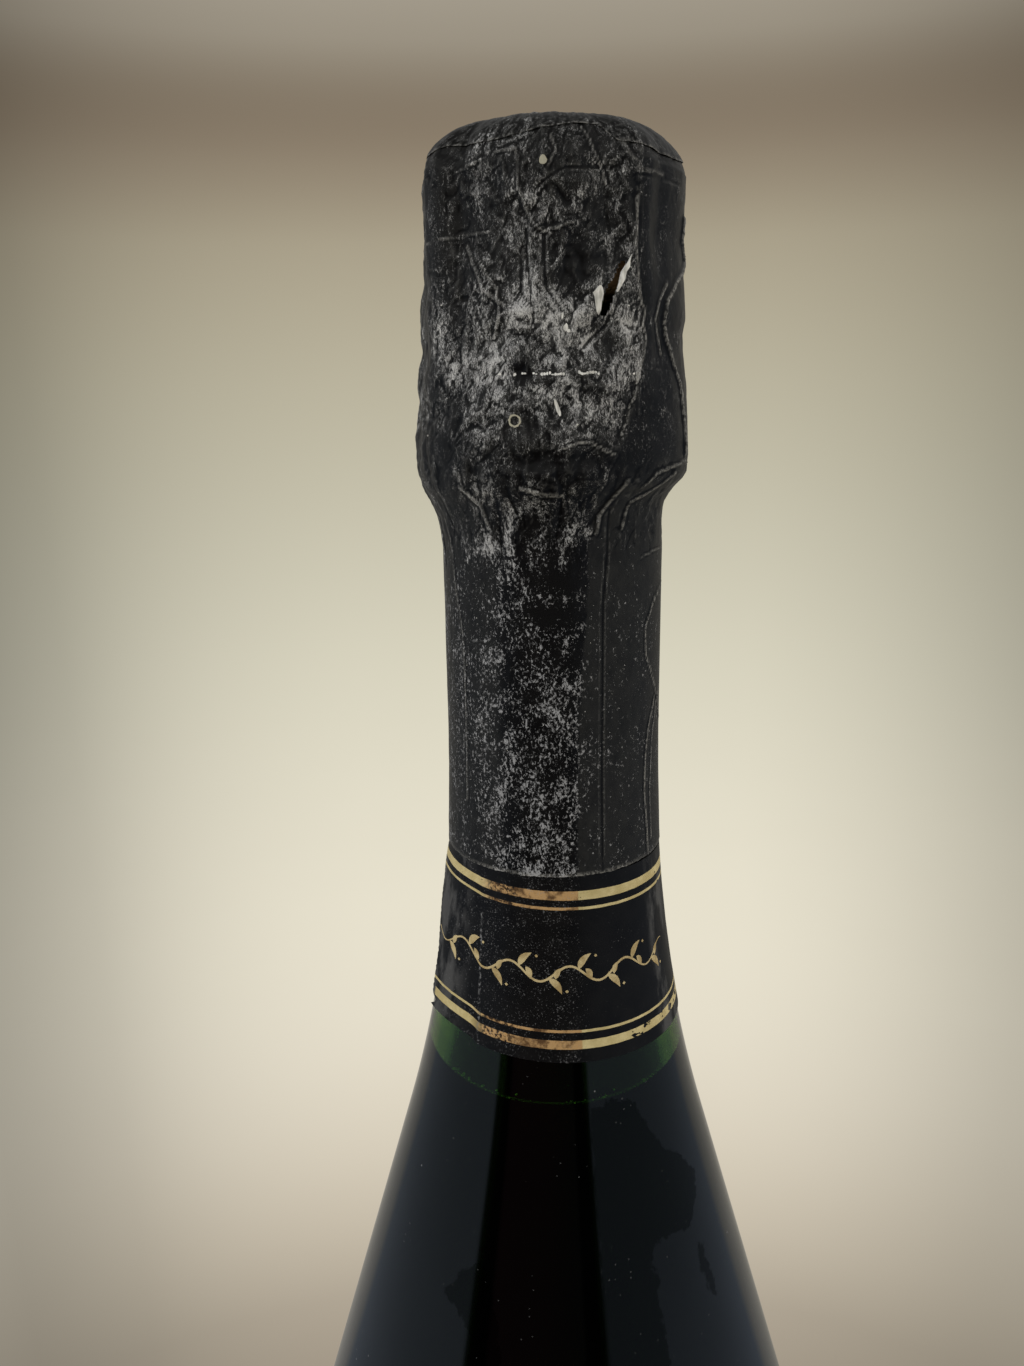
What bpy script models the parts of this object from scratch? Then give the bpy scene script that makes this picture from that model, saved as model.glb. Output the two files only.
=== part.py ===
"""Sparkling wine bottle, still closed: glass, wine, cork, metal cap, wire hood, foil and labels.

Metres, +Z up, origin at the centre of the base. Angles run round the bottle from the front, which faces -Y,
towards +X. Every round piece is turned about the Z axis, which is also the axis of each sliding joint.
"""
import math

import bmesh
import bpy

# Clearances, facets and thin sheets
GAP = 0.0003
MERGE = 0.000001
FACETS = 36
FOIL_FACETS = 60
SHARP_ANGLE = math.radians(35)
FOIL_THICKNESS = 0.00025
PAPER_THICKNESS = 0.0002

# Glass body
BODY_RADIUS = 0.045
BODY_WALL = 0.0034
GLASS_HEIGHT = 0.302
HEEL_RADIUS = 0.009
INNER_HEEL_RADIUS = 0.006
BEARING_WIDTH = 0.004
PUNT_DEPTH = 0.034
PUNT_FULLNESS = 1.4
BASE_WALL = 0.0065
SHOULDER_ARC_RADIUS = 0.100
CONE_ANGLE = math.radians(17.3)
SHOULDER_ARC_STEPS = 4
HEEL_STEPS = 4
PUNT_STEPS = 7

# Glass neck
NECK_ARC_RADIUS = 0.215
NECK_ARC_STEPS = 7
NECK_LENGTH = 0.056
NECK_RADIUS = 0.01405
NECK_WALL = 0.00375
NECK_TAPER = 0.00065
NECK_TAPER_LENGTH = 0.020

# Glass mouth: bead for the crown seal, groove, and collar that holds the wire
MOUTH_RADIUS = 0.0089
MOUTH_DEPTH = 0.028
MOUTH_FLARE_LENGTH = 0.020
BEAD_STEP = 0.0008
BEAD_HEIGHT = 0.0065
LIP_ROUNDING = 0.0016
LIP_STEPS = 3
GROOVE_HEIGHT = 0.004
COLLAR_DEPTH = 0.0175
COLLAR_HEIGHT = 0.0055
COLLAR_OVERHANG = 0.0016

# Wine
WINE_DEPTH_BELOW_LIP = 0.1028

# Cork
CORK_INSERT = 0.027
CORK_DISC_HEIGHT = 0.0057
CORK_HEAD_HEIGHT = 0.017
CORK_HEAD_RADIUS = 0.015

# Metal cap
CAP_THICKNESS = 0.0004
CAP_PLATEAU_RADIUS = 0.0084
CAP_PLATEAU_HEIGHT = 0.0009
CAP_SEAT_RADIUS = 0.0116
CAP_RADIUS = 0.0132
CAP_RIM_DROP = 0.0018

# Wire hood
WIRE_DIAMETER = 0.0009
LEG_COUNT = 4
CROWN_RADIUS = 0.0102
CROWN_FILLET = 0.0013
CROWN_STEPS = 6
FILLET_STEPS = 3
BEND_STEPS = 5
HOOK_SWEEP = math.radians(75)
HOOK_STEPS = 4
TWIST_STEPS_PER_TURN = 6
FIRST_LEG_ANGLE = math.radians(36)
LEG_TWIST_TURNS = 2.5
TAIL_ANGLE = math.radians(180)
TAIL_TWIST_LENGTH = 0.008
TAIL_TWIST_TURNS = 1.5
TAIL_BEND_RADIUS = 0.0012
EYE_RADIUS = 0.0022
EYE_STEPS = 9
BELT_STEPS = 40

# Foil
TEAR_HEIGHT_BELOW_LIP = 0.0079
FOIL_WAIST_BELOW_COLLAR = 0.008
FOIL_FLARE_HEIGHT = 0.0067
FOIL_COLLAR_CLEARANCE = 0.0022
FOIL_LENGTH = 0.0703
FOIL_CROWN_RADIUS = 0.0099
RIDGE_HALF_WIDTH = math.radians(6)
TAIL_RIDGE_HALF_WIDTH = math.radians(12)
RIDGE_FLANK = math.radians(12)
FOIL_CROWN_HOLE_RADIUS = 0.007
SKIRT_STEPS = 2
HOOD_STEPS = 3
CORNER_STEPS = 4
FOIL_DISC_RIM_TURNS = (math.radians(55), math.radians(72), math.radians(90))

# Labels
NECK_LABEL_DROP = 0.0008
NECK_LABEL_HEIGHT = 0.0245
NECK_LABEL_START = math.radians(-35)
NECK_LABEL_SWEEP = math.radians(310)
NECK_FLAP_LENGTH = 0.0088
NECK_FLAP_LIFT = 0.0009
LABEL_MARGIN = 0.008
FRONT_LABEL_SWEEP = math.radians(140)
BACK_LABEL_SWEEP = math.radians(100)
LABEL_STEP = math.radians(10)
LABEL_ROWS = 3

# Shares: hand-drawn outlines, as parts of the sizes that they follow
CORK_HEAD_SHARES = (
    (0.000, 0.62),
    (0.025, 0.84),
    (0.080, 0.92),
    (0.220, 0.98),
    (0.420, 1.00),
    (0.660, 0.99),
    (0.840, 0.94),
    (0.950, 0.86),
    (1.000, 0.76),
)
FOIL_FLARE_SHARES = ((0.45, 0.25), (0.75, 0.84), (1.00, 1.00))
BELT_REACH_SHARES = (1.5, 5)
TAIL_TURN_OUT_SHARES = (0.33, 1.4)

# Heights, radii and places worked out from the sizes above
LIP_Z = GLASS_HEIGHT
NECK_ARC_Z = LIP_Z - NECK_LENGTH
COLLAR_Z = LIP_Z - COLLAR_DEPTH
NECK_TOP_RADIUS = NECK_RADIUS - NECK_TAPER
COLLAR_RADIUS = NECK_TOP_RADIUS + COLLAR_OVERHANG
BEAD_RADIUS = NECK_TOP_RADIUS + BEAD_STEP
CORK_RADIUS = MOUTH_RADIUS - GAP
CORK_TOP_Z = LIP_Z + CORK_HEAD_HEIGHT
CAP_SEAT_Z = CORK_TOP_Z + GAP + CAP_THICKNESS
WIRE_RADIUS = WIRE_DIAMETER / 2
STRAND_OFFSET = (WIRE_DIAMETER + GAP) / 2
PAIR_RADIUS = STRAND_OFFSET + WIRE_RADIUS
CROWN_Z = CAP_SEAT_Z + GAP + WIRE_RADIUS
LEG_RADIUS = max(COLLAR_RADIUS, CORK_HEAD_RADIUS) + GAP + PAIR_RADIUS
LEG_BEND_RADIUS = LEG_RADIUS - CROWN_RADIUS
LEG_BEND_Z = CROWN_Z - LEG_BEND_RADIUS
HOOK_RADIUS = WIRE_DIAMETER + GAP
BELT_Z = COLLAR_Z - GAP - WIRE_RADIUS
BELT_HUG_RADIUS = NECK_TOP_RADIUS + GAP + WIRE_RADIUS
TAIL_RADIUS = COLLAR_RADIUS + GAP + PAIR_RADIUS
FOIL_RIDGE_RADIUS = LEG_RADIUS + PAIR_RADIUS + GAP
FOIL_COLLAR_RADIUS = COLLAR_RADIUS + FOIL_COLLAR_CLEARANCE
FOIL_HEAD_RADIUS = max(BEAD_RADIUS, CORK_HEAD_RADIUS) + GAP
FOIL_WAIST_Z = COLLAR_Z - FOIL_WAIST_BELOW_COLLAR
FOIL_BOTTOM_Z = LIP_Z - FOIL_LENGTH
FOIL_CROWN_Z = CROWN_Z + WIRE_RADIUS + GAP
TEAR_Z = LIP_Z - TEAR_HEIGHT_BELOW_LIP


def around(radius, angle, height):
    """The point at this radius, angle from the front, and height."""
    return (radius * math.sin(angle), -radius * math.cos(angle), height)


def shares(count):
    """Evenly spaced values from 0 to 1."""
    return [step / count for step in range(count + 1)]


def mix(low, high, share):
    """The value this share of the way from low to high."""
    return low + (high - low) * share


def ease(share):
    """A smooth step from 0 to 1."""
    held = min(1, max(0, share))
    return held * held * (3 - 2 * held)


def finish(name, color, roughness, metallic=0, transmission=0):
    """A Principled material with the finish of one piece."""
    material = bpy.data.materials.new(name)
    material.use_nodes = True
    shader = material.node_tree.nodes["Principled BSDF"]
    shader.inputs["Base Color"].default_value = (*color, 1)
    shader.inputs["Roughness"].default_value = roughness
    shader.inputs["Metallic"].default_value = metallic
    shader.inputs["Transmission Weight"].default_value = transmission
    material.diffuse_color = (*color, 1)
    return material


def place(data, name, material, parent):
    """Puts one piece into the scene, on the empty of the group that it moves with."""
    data.materials.append(material)
    piece = bpy.data.objects.new(name, data)
    bpy.context.scene.collection.objects.link(piece)
    piece.parent = parent
    piece.location = [-value for value in parent.location]
    return piece


def place_mesh(shape, name, material, parent):
    """Turns a bmesh with its faces pointing out into a smooth-shaded piece."""
    bmesh.ops.recalc_face_normals(shape, faces=shape.faces)
    mesh = bpy.data.meshes.new(name)
    shape.to_mesh(mesh)
    shape.free()
    mesh.shade_smooth()
    mesh.set_sharp_from_angle(angle=SHARP_ANGLE)
    return place(mesh, name, material, parent)


def turned(name, profile, material, parent):
    """A piece turned about the Z axis from its (radius, height) profile."""
    shape = bmesh.new()
    points = [shape.verts.new((radius, 0, height)) for radius, height in profile]
    edges = [shape.edges.new(pair) for pair in zip(points, points[1:])]
    bmesh.ops.spin(
        shape,
        geom=points + edges,
        cent=(0, 0, 0),
        axis=(0, 0, 1),
        angle=2 * math.pi,
        steps=FACETS,
        use_merge=True,
    )
    bmesh.ops.remove_doubles(shape, verts=shape.verts, dist=MERGE)
    return place_mesh(shape, name, material, parent)


def bridge(shape, ring, following):
    """Quads between two closed rings of points."""
    for step in range(len(ring)):
        after = (step + 1) % len(ring)
        shape.faces.new((ring[step], ring[after], following[after], following[step]))


def wire(name, points, material, parent, closed=False):
    """A round wire along a line of points."""
    data = bpy.data.curves.new(name, "CURVE")
    data.dimensions = "3D"
    data.bevel_depth = WIRE_RADIUS
    data.bevel_resolution = 1
    data.use_fill_caps = not closed
    line = data.splines.new("POLY")
    line.points.add(len(points) - 1)
    for point, place_on_line in zip(line.points, points):
        point.co = (*place_on_line, 1)
    line.use_cyclic_u = closed
    return place(data, name, material, parent)


def arc(centre, radius, start, end, count):
    """Points (radius, height) along an arc; angles are measured from +X towards +Z."""
    turns = [mix(start, end, share) for share in shares(count)]
    return [(centre[0] + radius * math.cos(turn), centre[1] + radius * math.sin(turn)) for turn in turns]


def shoulder_outline(neck_inset, body_inset):
    """From the foot of the neck down to the top of the body: a hollow arc, a cone and a full arc.

    The insets move the line inwards through the wall, about the same arc centres.
    """
    neck_radius = NECK_RADIUS - neck_inset
    neck_arc = NECK_ARC_RADIUS + neck_inset
    body_radius = BODY_RADIUS - body_inset
    body_arc = SHOULDER_ARC_RADIUS - body_inset
    upper = arc((neck_radius + neck_arc, NECK_ARC_Z), neck_arc, math.pi, math.pi + CONE_ANGLE, NECK_ARC_STEPS)
    cone_width = body_radius - body_arc * (1 - math.cos(CONE_ANGLE)) - upper[-1][0]
    cone_foot_z = upper[-1][1] - cone_width / math.tan(CONE_ANGLE)
    body_arc_z = cone_foot_z - body_arc * math.sin(CONE_ANGLE)
    lower = arc((body_radius - body_arc, body_arc_z), body_arc, CONE_ANGLE, 0, SHOULDER_ARC_STEPS)
    return upper + lower


def heel_outline(radius, rounding, height):
    """From the body's side round the heel to the underside."""
    return arc((radius - rounding, height + rounding), rounding, 0, -math.pi / 2, HEEL_STEPS)


def punt_outline(foot_radius, foot_z):
    """From the foot of the punt up its bell-shaped side to the axis."""
    side = []
    for share in shares(PUNT_STEPS)[:-1]:
        turn = math.pi / 2 * share
        side.append((foot_radius * math.cos(turn), foot_z + PUNT_DEPTH * math.sin(turn) ** PUNT_FULLNESS))
    return side + [(0, foot_z + PUNT_DEPTH)]


def inner_outline(clearance):
    """The inside of the glass from the neck down to the axis, or the wine's outside at a clearance."""
    body_inset = BODY_WALL + clearance
    floor_z = BASE_WALL + clearance
    heel_radius = INNER_HEEL_RADIUS - clearance
    punt_foot = BODY_RADIUS - HEEL_RADIUS - BEARING_WIDTH / 2
    return (
        shoulder_outline(NECK_WALL + clearance, body_inset)
        + heel_outline(BODY_RADIUS - body_inset, heel_radius, floor_z)
        + punt_outline(punt_foot + clearance, floor_z)
    )


def mouth_outline():
    """From the top of the lip down its outside: bead, groove and collar, then the tapered top of the neck."""
    bead_foot_z = LIP_Z - BEAD_HEIGHT
    groove_foot_z = bead_foot_z - GROOVE_HEIGHT
    collar_rounding = COLLAR_OVERHANG / 2
    lip = arc((BEAD_RADIUS - LIP_ROUNDING, LIP_Z - LIP_ROUNDING), LIP_ROUNDING, math.pi / 2, 0, LIP_STEPS)
    bead_foot = [
        (BEAD_RADIUS, bead_foot_z + BEAD_STEP),
        (NECK_TOP_RADIUS, bead_foot_z),
    ]
    collar_top = [
        (NECK_TOP_RADIUS, groove_foot_z + COLLAR_OVERHANG / 2),
        (COLLAR_RADIUS - collar_rounding, groove_foot_z - collar_rounding),
        (COLLAR_RADIUS, COLLAR_Z + COLLAR_HEIGHT / 2),
    ]
    collar_foot = [
        (COLLAR_RADIUS, COLLAR_Z + collar_rounding),
        (COLLAR_RADIUS - collar_rounding, COLLAR_Z),
        (NECK_TOP_RADIUS, COLLAR_Z),
    ]
    return lip + bead_foot + collar_top + collar_foot + [(NECK_RADIUS, COLLAR_Z - NECK_TAPER_LENGTH)]


GLASS_OUTSIDE = mouth_outline() + shoulder_outline(0, 0)


def glass_radius(height):
    """The glass's outer radius at a height below the collar."""
    below = [point for point in GLASS_OUTSIDE if point[1] < COLLAR_Z]
    for (upper_r, upper_z), (lower_r, lower_z) in zip(below, below[1:]):
        if lower_z <= height <= upper_z:
            return mix(lower_r, upper_r, (height - lower_z) / (upper_z - lower_z))
    return BODY_RADIUS


def glass_profile():
    """The whole wall: up the inside from the axis, over the lip, down the outside and up the punt."""
    mouth_foot_z = LIP_Z - MOUTH_DEPTH
    bore = [
        (NECK_RADIUS - NECK_WALL, mouth_foot_z - MOUTH_FLARE_LENGTH),
        (MOUTH_RADIUS, mouth_foot_z),
        (MOUTH_RADIUS, LIP_Z - LIP_ROUNDING / 2),
        (MOUTH_RADIUS + LIP_ROUNDING / 2, LIP_Z),
    ]
    base = heel_outline(BODY_RADIUS, HEEL_RADIUS, 0)
    punt = punt_outline(BODY_RADIUS - HEEL_RADIUS - BEARING_WIDTH, 0)
    return list(reversed(inner_outline(0))) + bore + GLASS_OUTSIDE + base + punt


def wine_profile():
    """The wine: flat on top, and clear of the glass all the way down."""
    level = LIP_Z - WINE_DEPTH_BELOW_LIP
    outline = inner_outline(GAP)
    for (upper_r, upper_z), (lower_r, lower_z) in zip(outline, outline[1:]):
        if lower_z < level <= upper_z:
            rim = (mix(lower_r, upper_r, (level - lower_z) / (upper_z - lower_z)), level)
    return [(0, level), rim] + [point for point in outline if point[1] < level]


def cork_profile():
    """The cork's body: the shank in the mouth, and the head that swells over the lip."""
    foot_z = LIP_Z - CORK_INSERT + 2 * (CORK_DISC_HEIGHT + GAP)
    head_z = LIP_Z + GAP
    head = [
        (CORK_HEAD_RADIUS * radius_share, mix(head_z, CORK_TOP_Z, height_share))
        for height_share, radius_share in reversed(CORK_HEAD_SHARES)
    ]
    return [(0, CORK_TOP_Z)] + head + [(CORK_RADIUS, head_z), (CORK_RADIUS, foot_z), (0, foot_z)]


def disc_profile(foot_z):
    """One natural cork disc."""
    top_z = foot_z + CORK_DISC_HEIGHT
    return [(0, top_z), (CORK_RADIUS, top_z), (CORK_RADIUS, foot_z), (0, foot_z)]


def cap_profile():
    """The metal cap: a raised middle, a seat for the wire round it, and a rim turned down."""
    under_z = CORK_TOP_Z + GAP
    upper = [
        (0, CAP_SEAT_Z + CAP_PLATEAU_HEIGHT),
        (CAP_PLATEAU_RADIUS, CAP_SEAT_Z + CAP_PLATEAU_HEIGHT),
        (CAP_PLATEAU_RADIUS + CAP_PLATEAU_HEIGHT / 2, CAP_SEAT_Z),
        (CAP_SEAT_RADIUS, CAP_SEAT_Z),
        (CAP_RADIUS, CAP_SEAT_Z - CAP_RIM_DROP / 2),
        (CAP_RADIUS + CAP_THICKNESS, CAP_SEAT_Z - CAP_RIM_DROP),
    ]
    lower = [
        (CAP_RADIUS, CAP_SEAT_Z - CAP_RIM_DROP),
        (CAP_RADIUS - CAP_THICKNESS, CAP_SEAT_Z - CAP_RIM_DROP / 2 - CAP_THICKNESS / 2),
        (CAP_SEAT_RADIUS - CAP_THICKNESS / 2, under_z),
        (CAP_PLATEAU_RADIUS + CAP_PLATEAU_HEIGHT / 2 - CAP_THICKNESS, under_z),
        (CAP_PLATEAU_RADIUS - CAP_THICKNESS, under_z + CAP_PLATEAU_HEIGHT),
        (0, under_z + CAP_PLATEAU_HEIGHT),
    ]
    return upper + lower


def leg_point(angle, radius, sideways, height):
    """A point beside a leg: its radius along the leg's own direction, and how far it lies sideways."""
    x = radius * math.sin(angle) + sideways * math.cos(angle)
    y = -radius * math.cos(angle) + sideways * math.sin(angle)
    return (x, y, height)


def twisted(angle, radius, side, low_z, high_z, turns):
    """One strand of a twisted pair, from its top down; side is 1 or -1."""
    points = []
    for share in shares(round(turns * TWIST_STEPS_PER_TURN)):
        phase = 2 * math.pi * turns * share
        sideways = STRAND_OFFSET * side * math.cos(phase)
        outwards = STRAND_OFFSET * side * math.sin(phase)
        points.append(leg_point(angle, radius + outwards, sideways, mix(high_z, low_z, share)))
    return points


def half_frame(angle, side):
    """From the crown down one leg to its foot: fillet, bend over the cap, twisted leg and hook.

    The leg's centre line is an arc from the crown out to the leg's radius and then a straight run down.
    """
    corner = (CROWN_RADIUS, STRAND_OFFSET)
    start_angle = (STRAND_OFFSET + CROWN_FILLET) / CROWN_RADIUS
    start = (CROWN_RADIUS * math.cos(start_angle), CROWN_RADIUS * math.sin(start_angle))
    end = (CROWN_RADIUS + CROWN_FILLET, STRAND_OFFSET)
    points = []
    for share in shares(FILLET_STEPS):
        near, far = (1 - share) ** 2, share**2
        middle = 2 * share * (1 - share)
        radius = near * start[0] + middle * corner[0] + far * end[0]
        sideways = near * start[1] + middle * corner[1] + far * end[1]
        out = max(0, radius - CROWN_RADIUS)
        height = LEG_BEND_Z + math.sqrt(LEG_BEND_RADIUS**2 - out**2)
        points.append(leg_point(angle, radius, side * sideways, height))
    bend_start = math.acos(CROWN_FILLET / LEG_BEND_RADIUS)
    bend = arc((CROWN_RADIUS, LEG_BEND_Z), LEG_BEND_RADIUS, bend_start, 0, BEND_STEPS)
    points += [leg_point(angle, radius, side * STRAND_OFFSET, height) for radius, height in bend[1:-1]]
    points += twisted(angle, LEG_RADIUS, side, BELT_Z, LEG_BEND_Z, LEG_TWIST_TURNS)
    foot_side = side * math.cos(2 * math.pi * LEG_TWIST_TURNS)
    hook = arc((LEG_RADIUS - HOOK_RADIUS, BELT_Z), HOOK_RADIUS, 0, -HOOK_SWEEP, HOOK_STEPS)
    points += [leg_point(angle, radius, foot_side * STRAND_OFFSET, height) for radius, height in hook[1:]]
    return points


def frame_wire_points(first_leg, second_leg):
    """One of the four frame wires: up a leg, a quarter of the crown ring, and down the next leg."""
    margin = (STRAND_OFFSET + CROWN_FILLET) / CROWN_RADIUS
    turns = [mix(first_leg + margin, second_leg - margin, share) for share in shares(CROWN_STEPS)]
    crown = [around(CROWN_RADIUS, turn, CROWN_Z) for turn in turns]
    return list(reversed(half_frame(first_leg, 1))) + crown[1:-1] + half_frame(second_leg, -1)


def leg_angles():
    """The four legs, evenly spaced round the bottle."""
    return [FIRST_LEG_ANGLE + 2 * math.pi * leg / LEG_COUNT for leg in range(LEG_COUNT)]


def apart(angle, other):
    """How far two angles lie apart, at most half a turn."""
    turn = abs(angle - other) % (2 * math.pi)
    return min(turn, 2 * math.pi - turn)


def belt_radius(angle):
    """The belt hugs the neck between the feet and runs out to the hooks at each foot."""
    nearest = min(apart(angle, leg) for leg in leg_angles())
    hook_half_width = PAIR_RADIUS / LEG_RADIUS
    held_share, run_out_share = BELT_REACH_SHARES
    reach = 1 - ease((nearest - held_share * hook_half_width) / (run_out_share * hook_half_width))
    return mix(BELT_HUG_RADIUS, LEG_RADIUS - HOOK_RADIUS, reach)


def belt_end(side):
    """From the belt out and up into one strand of the twisted tail."""
    margin = (STRAND_OFFSET + TAIL_BEND_RADIUS) / BELT_HUG_RADIUS
    start = around(BELT_HUG_RADIUS, TAIL_ANGLE + side * margin, BELT_Z)
    out_share, side_share = TAIL_TURN_OUT_SHARES
    inner_radius = BELT_HUG_RADIUS + out_share * TAIL_BEND_RADIUS
    inner = leg_point(TAIL_ANGLE, inner_radius, side * side_share * STRAND_OFFSET, BELT_Z)
    low_z = BELT_Z + TAIL_BEND_RADIUS
    rise = arc((TAIL_RADIUS - TAIL_BEND_RADIUS, low_z), TAIL_BEND_RADIUS, -math.pi / 2, 0, FILLET_STEPS)
    climb = [leg_point(TAIL_ANGLE, radius, side * STRAND_OFFSET, height) for radius, height in rise]
    strand = twisted(TAIL_ANGLE, TAIL_RADIUS, side, low_z + TAIL_TWIST_LENGTH, low_z, TAIL_TWIST_TURNS)
    return [start, inner] + climb + strand[1:]


def belt_points():
    """The belt round the neck, its two ends twisted together into a tail with an eye at the top."""
    margin = (STRAND_OFFSET + TAIL_BEND_RADIUS) / BELT_HUG_RADIUS
    start, end = TAIL_ANGLE + margin, TAIL_ANGLE + 2 * math.pi - margin
    turns = [mix(start, end, share) for share in shares(BELT_STEPS)]
    loop = [around(belt_radius(turn), turn, BELT_Z) for turn in turns]
    eye_start = math.asin(STRAND_OFFSET / EYE_RADIUS)
    eye_z = BELT_Z + TAIL_BEND_RADIUS + TAIL_TWIST_LENGTH + EYE_RADIUS * math.cos(eye_start)
    swap = math.cos(2 * math.pi * TAIL_TWIST_TURNS)
    eye = []
    for share in shares(EYE_STEPS):
        turn = mix(eye_start, 2 * math.pi - eye_start, share)
        sideways = -swap * EYE_RADIUS * math.sin(turn)
        eye.append(leg_point(TAIL_ANGLE, TAIL_RADIUS, sideways, eye_z - EYE_RADIUS * math.cos(turn)))
    return list(reversed(belt_end(1))) + loop[1:-1] + belt_end(-1) + eye[1:-1]


def ridge(angle, height):
    """How far the foil is pushed out at this angle and height: 1 over a leg or the tail, 0 between them."""
    eye_top_z = BELT_Z + TAIL_BEND_RADIUS + TAIL_TWIST_LENGTH + 2 * EYE_RADIUS + WIRE_RADIUS + GAP
    over_leg = max(1 - ease((apart(angle, leg) - RIDGE_HALF_WIDTH) / RIDGE_FLANK) for leg in leg_angles())
    over_tail = 1 - ease((apart(angle, TAIL_ANGLE) - TAIL_RIDGE_HALF_WIDTH) / RIDGE_FLANK)
    fade = 1 - ease((height - eye_top_z) / EYE_RADIUS)
    return max(over_leg, over_tail * fade)


def foil(name, inner, offset, material, parent, capped=False):
    """A foil piece from rows (height, radius between the legs, radius over a leg) of its inner face.

    The rows are set out by the offset, and the outer face lies one thickness further, both square to the
    line of the rows. A capped piece runs on from its last row to the axis; the others are open sleeves.
    """
    rows = []
    for index, (height, plain, raised) in enumerate(inner):
        before = inner[max(0, index - 1)]
        after = inner[min(len(inner) - 1, index + 1)]
        rise, run = after[0] - before[0], after[1] - before[1]
        length = math.hypot(rise, run)
        rows.append((height, plain, raised, rise / length, -run / length))
    shape = bmesh.new()
    turns = [2 * math.pi * step / FOIL_FACETS for step in range(FOIL_FACETS)]
    rings = []
    for ordered_rows, depth in ((rows, offset), (rows[::-1], offset + FOIL_THICKNESS)):
        for height, plain, raised, outwards, upwards in ordered_rows:
            radii = [mix(plain, raised, ridge(turn, height)) + depth * outwards for turn in turns]
            level = height + depth * upwards
            rings.append([shape.verts.new(around(radius, turn, level)) for radius, turn in zip(radii, turns)])
    inner_end = len(rows) - 1
    for index, ring in enumerate(rings):
        following = rings[(index + 1) % len(rings)]
        if not capped or index != inner_end:
            bridge(shape, ring, following)
            continue
        for end in (ring, following):
            centre = shape.verts.new((0, 0, end[0].co.z))
            for point, neighbour in zip(end, end[1:] + end[:1]):
                shape.faces.new((point, neighbour, centre))
    return place_mesh(shape, name, material, parent)


def skirt_rows():
    """The foil from its lower edge on the neck up to the tear line, on its inner face."""
    rows = []
    for share in shares(SKIRT_STEPS):
        height = mix(FOIL_BOTTOM_Z, NECK_ARC_Z, share)
        radius = glass_radius(height) + GAP
        rows.append((height, radius, radius))
    neck = NECK_RADIUS + GAP
    rows.append((FOIL_WAIST_Z, neck, neck))
    for height_share, radius_share in FOIL_FLARE_SHARES:
        rows.append((
            FOIL_WAIST_Z + FOIL_FLARE_HEIGHT * height_share,
            mix(neck, FOIL_COLLAR_RADIUS, radius_share),
            mix(neck, FOIL_RIDGE_RADIUS, radius_share),
        ))
    widest_z = COLLAR_Z + GAP
    rows.append((widest_z, FOIL_COLLAR_RADIUS, FOIL_RIDGE_RADIUS))
    wall = [wall_row(mix(widest_z, TEAR_Z - GAP / 2, share)) for share in shares(SKIRT_STEPS)]
    return rows + wall[1:]


def wall_row(height):
    """The foil's upright wall between the collar and the head of the cork."""
    fullest_z = CORK_TOP_Z - CORK_HEAD_HEIGHT / 2
    share = ease((height - COLLAR_Z) / (fullest_z - COLLAR_Z))
    return (height, mix(FOIL_COLLAR_RADIUS, FOIL_HEAD_RADIUS, share), FOIL_RIDGE_RADIUS)


def crown_row(turn):
    """The foil's rounded top corner: a quarter of an oval from the wall to the crown."""
    out, up = math.cos(turn), math.sin(turn)
    return (
        mix(LEG_BEND_Z, FOIL_CROWN_Z, up),
        mix(FOIL_CROWN_RADIUS, FOIL_HEAD_RADIUS, out),
        mix(CROWN_RADIUS, FOIL_RIDGE_RADIUS, out),
    )


def hood_rows():
    """The foil from the tear line up over the crown, folded in to a round hole."""
    low_z = TEAR_Z + GAP / 2
    wall = [wall_row(mix(low_z, LEG_BEND_Z, share)) for share in shares(HOOD_STEPS)[:-1]]
    corner = [crown_row(math.pi / 2 * share) for share in shares(CORNER_STEPS)]
    hole = (FOIL_CROWN_Z, FOIL_CROWN_HOLE_RADIUS, FOIL_CROWN_HOLE_RADIUS)
    return wall + corner + [hole]


def glass_bottle(parent):
    """Green glass with a punt, a bead for the mouth and a collar for the wire."""
    green = finish("green_glass", (0.02, 0.11, 0.035), 0.05, transmission=1)
    return turned("glass_bottle", glass_profile(), green, parent)


def wine(parent):
    """The wine, a clearance inside the glass."""
    return turned("wine", wine_profile(), finish("wine", (0.10, 0.008, 0.014), 0.02, transmission=1), parent)


def cork(parent):
    """The cork's agglomerated body and the two natural discs glued under it."""
    grain = finish("agglomerated_cork", (0.50, 0.33, 0.18), 0.85)
    turned("cork_body", cork_profile(), grain, parent)
    natural = finish("natural_cork", (0.58, 0.40, 0.23), 0.8)
    foot_z = LIP_Z - CORK_INSERT
    turned("cork_disc_lower", disc_profile(foot_z), natural, parent)
    turned("cork_disc_upper", disc_profile(foot_z + CORK_DISC_HEIGHT + GAP), natural, parent)


def metal_cap(parent):
    """The pressed metal cap between the cork and the wire."""
    lacquer = finish("cap_enamel", (0.05, 0.05, 0.05), 0.3, metallic=0.6)
    return turned("metal_cap", cap_profile(), lacquer, parent)


def wire_hood(parent):
    """Four frame wires, each shared by two neighbouring legs, and the belt under the collar."""
    steel = finish("steel_wire", (0.55, 0.54, 0.50), 0.35, metallic=1)
    legs = leg_angles()
    for number, first_leg in enumerate(legs, start=1):
        points = frame_wire_points(first_leg, first_leg + 2 * math.pi / LEG_COUNT)
        wire(f"frame_wire_{number}", points, steel, parent)
    wire("belt_wire", belt_points(), steel, parent, closed=True)


def foil_skirt(parent, black):
    """The foil below the tear line, down to the neck label."""
    return foil("foil_skirt", skirt_rows(), 0, black, parent)


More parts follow.
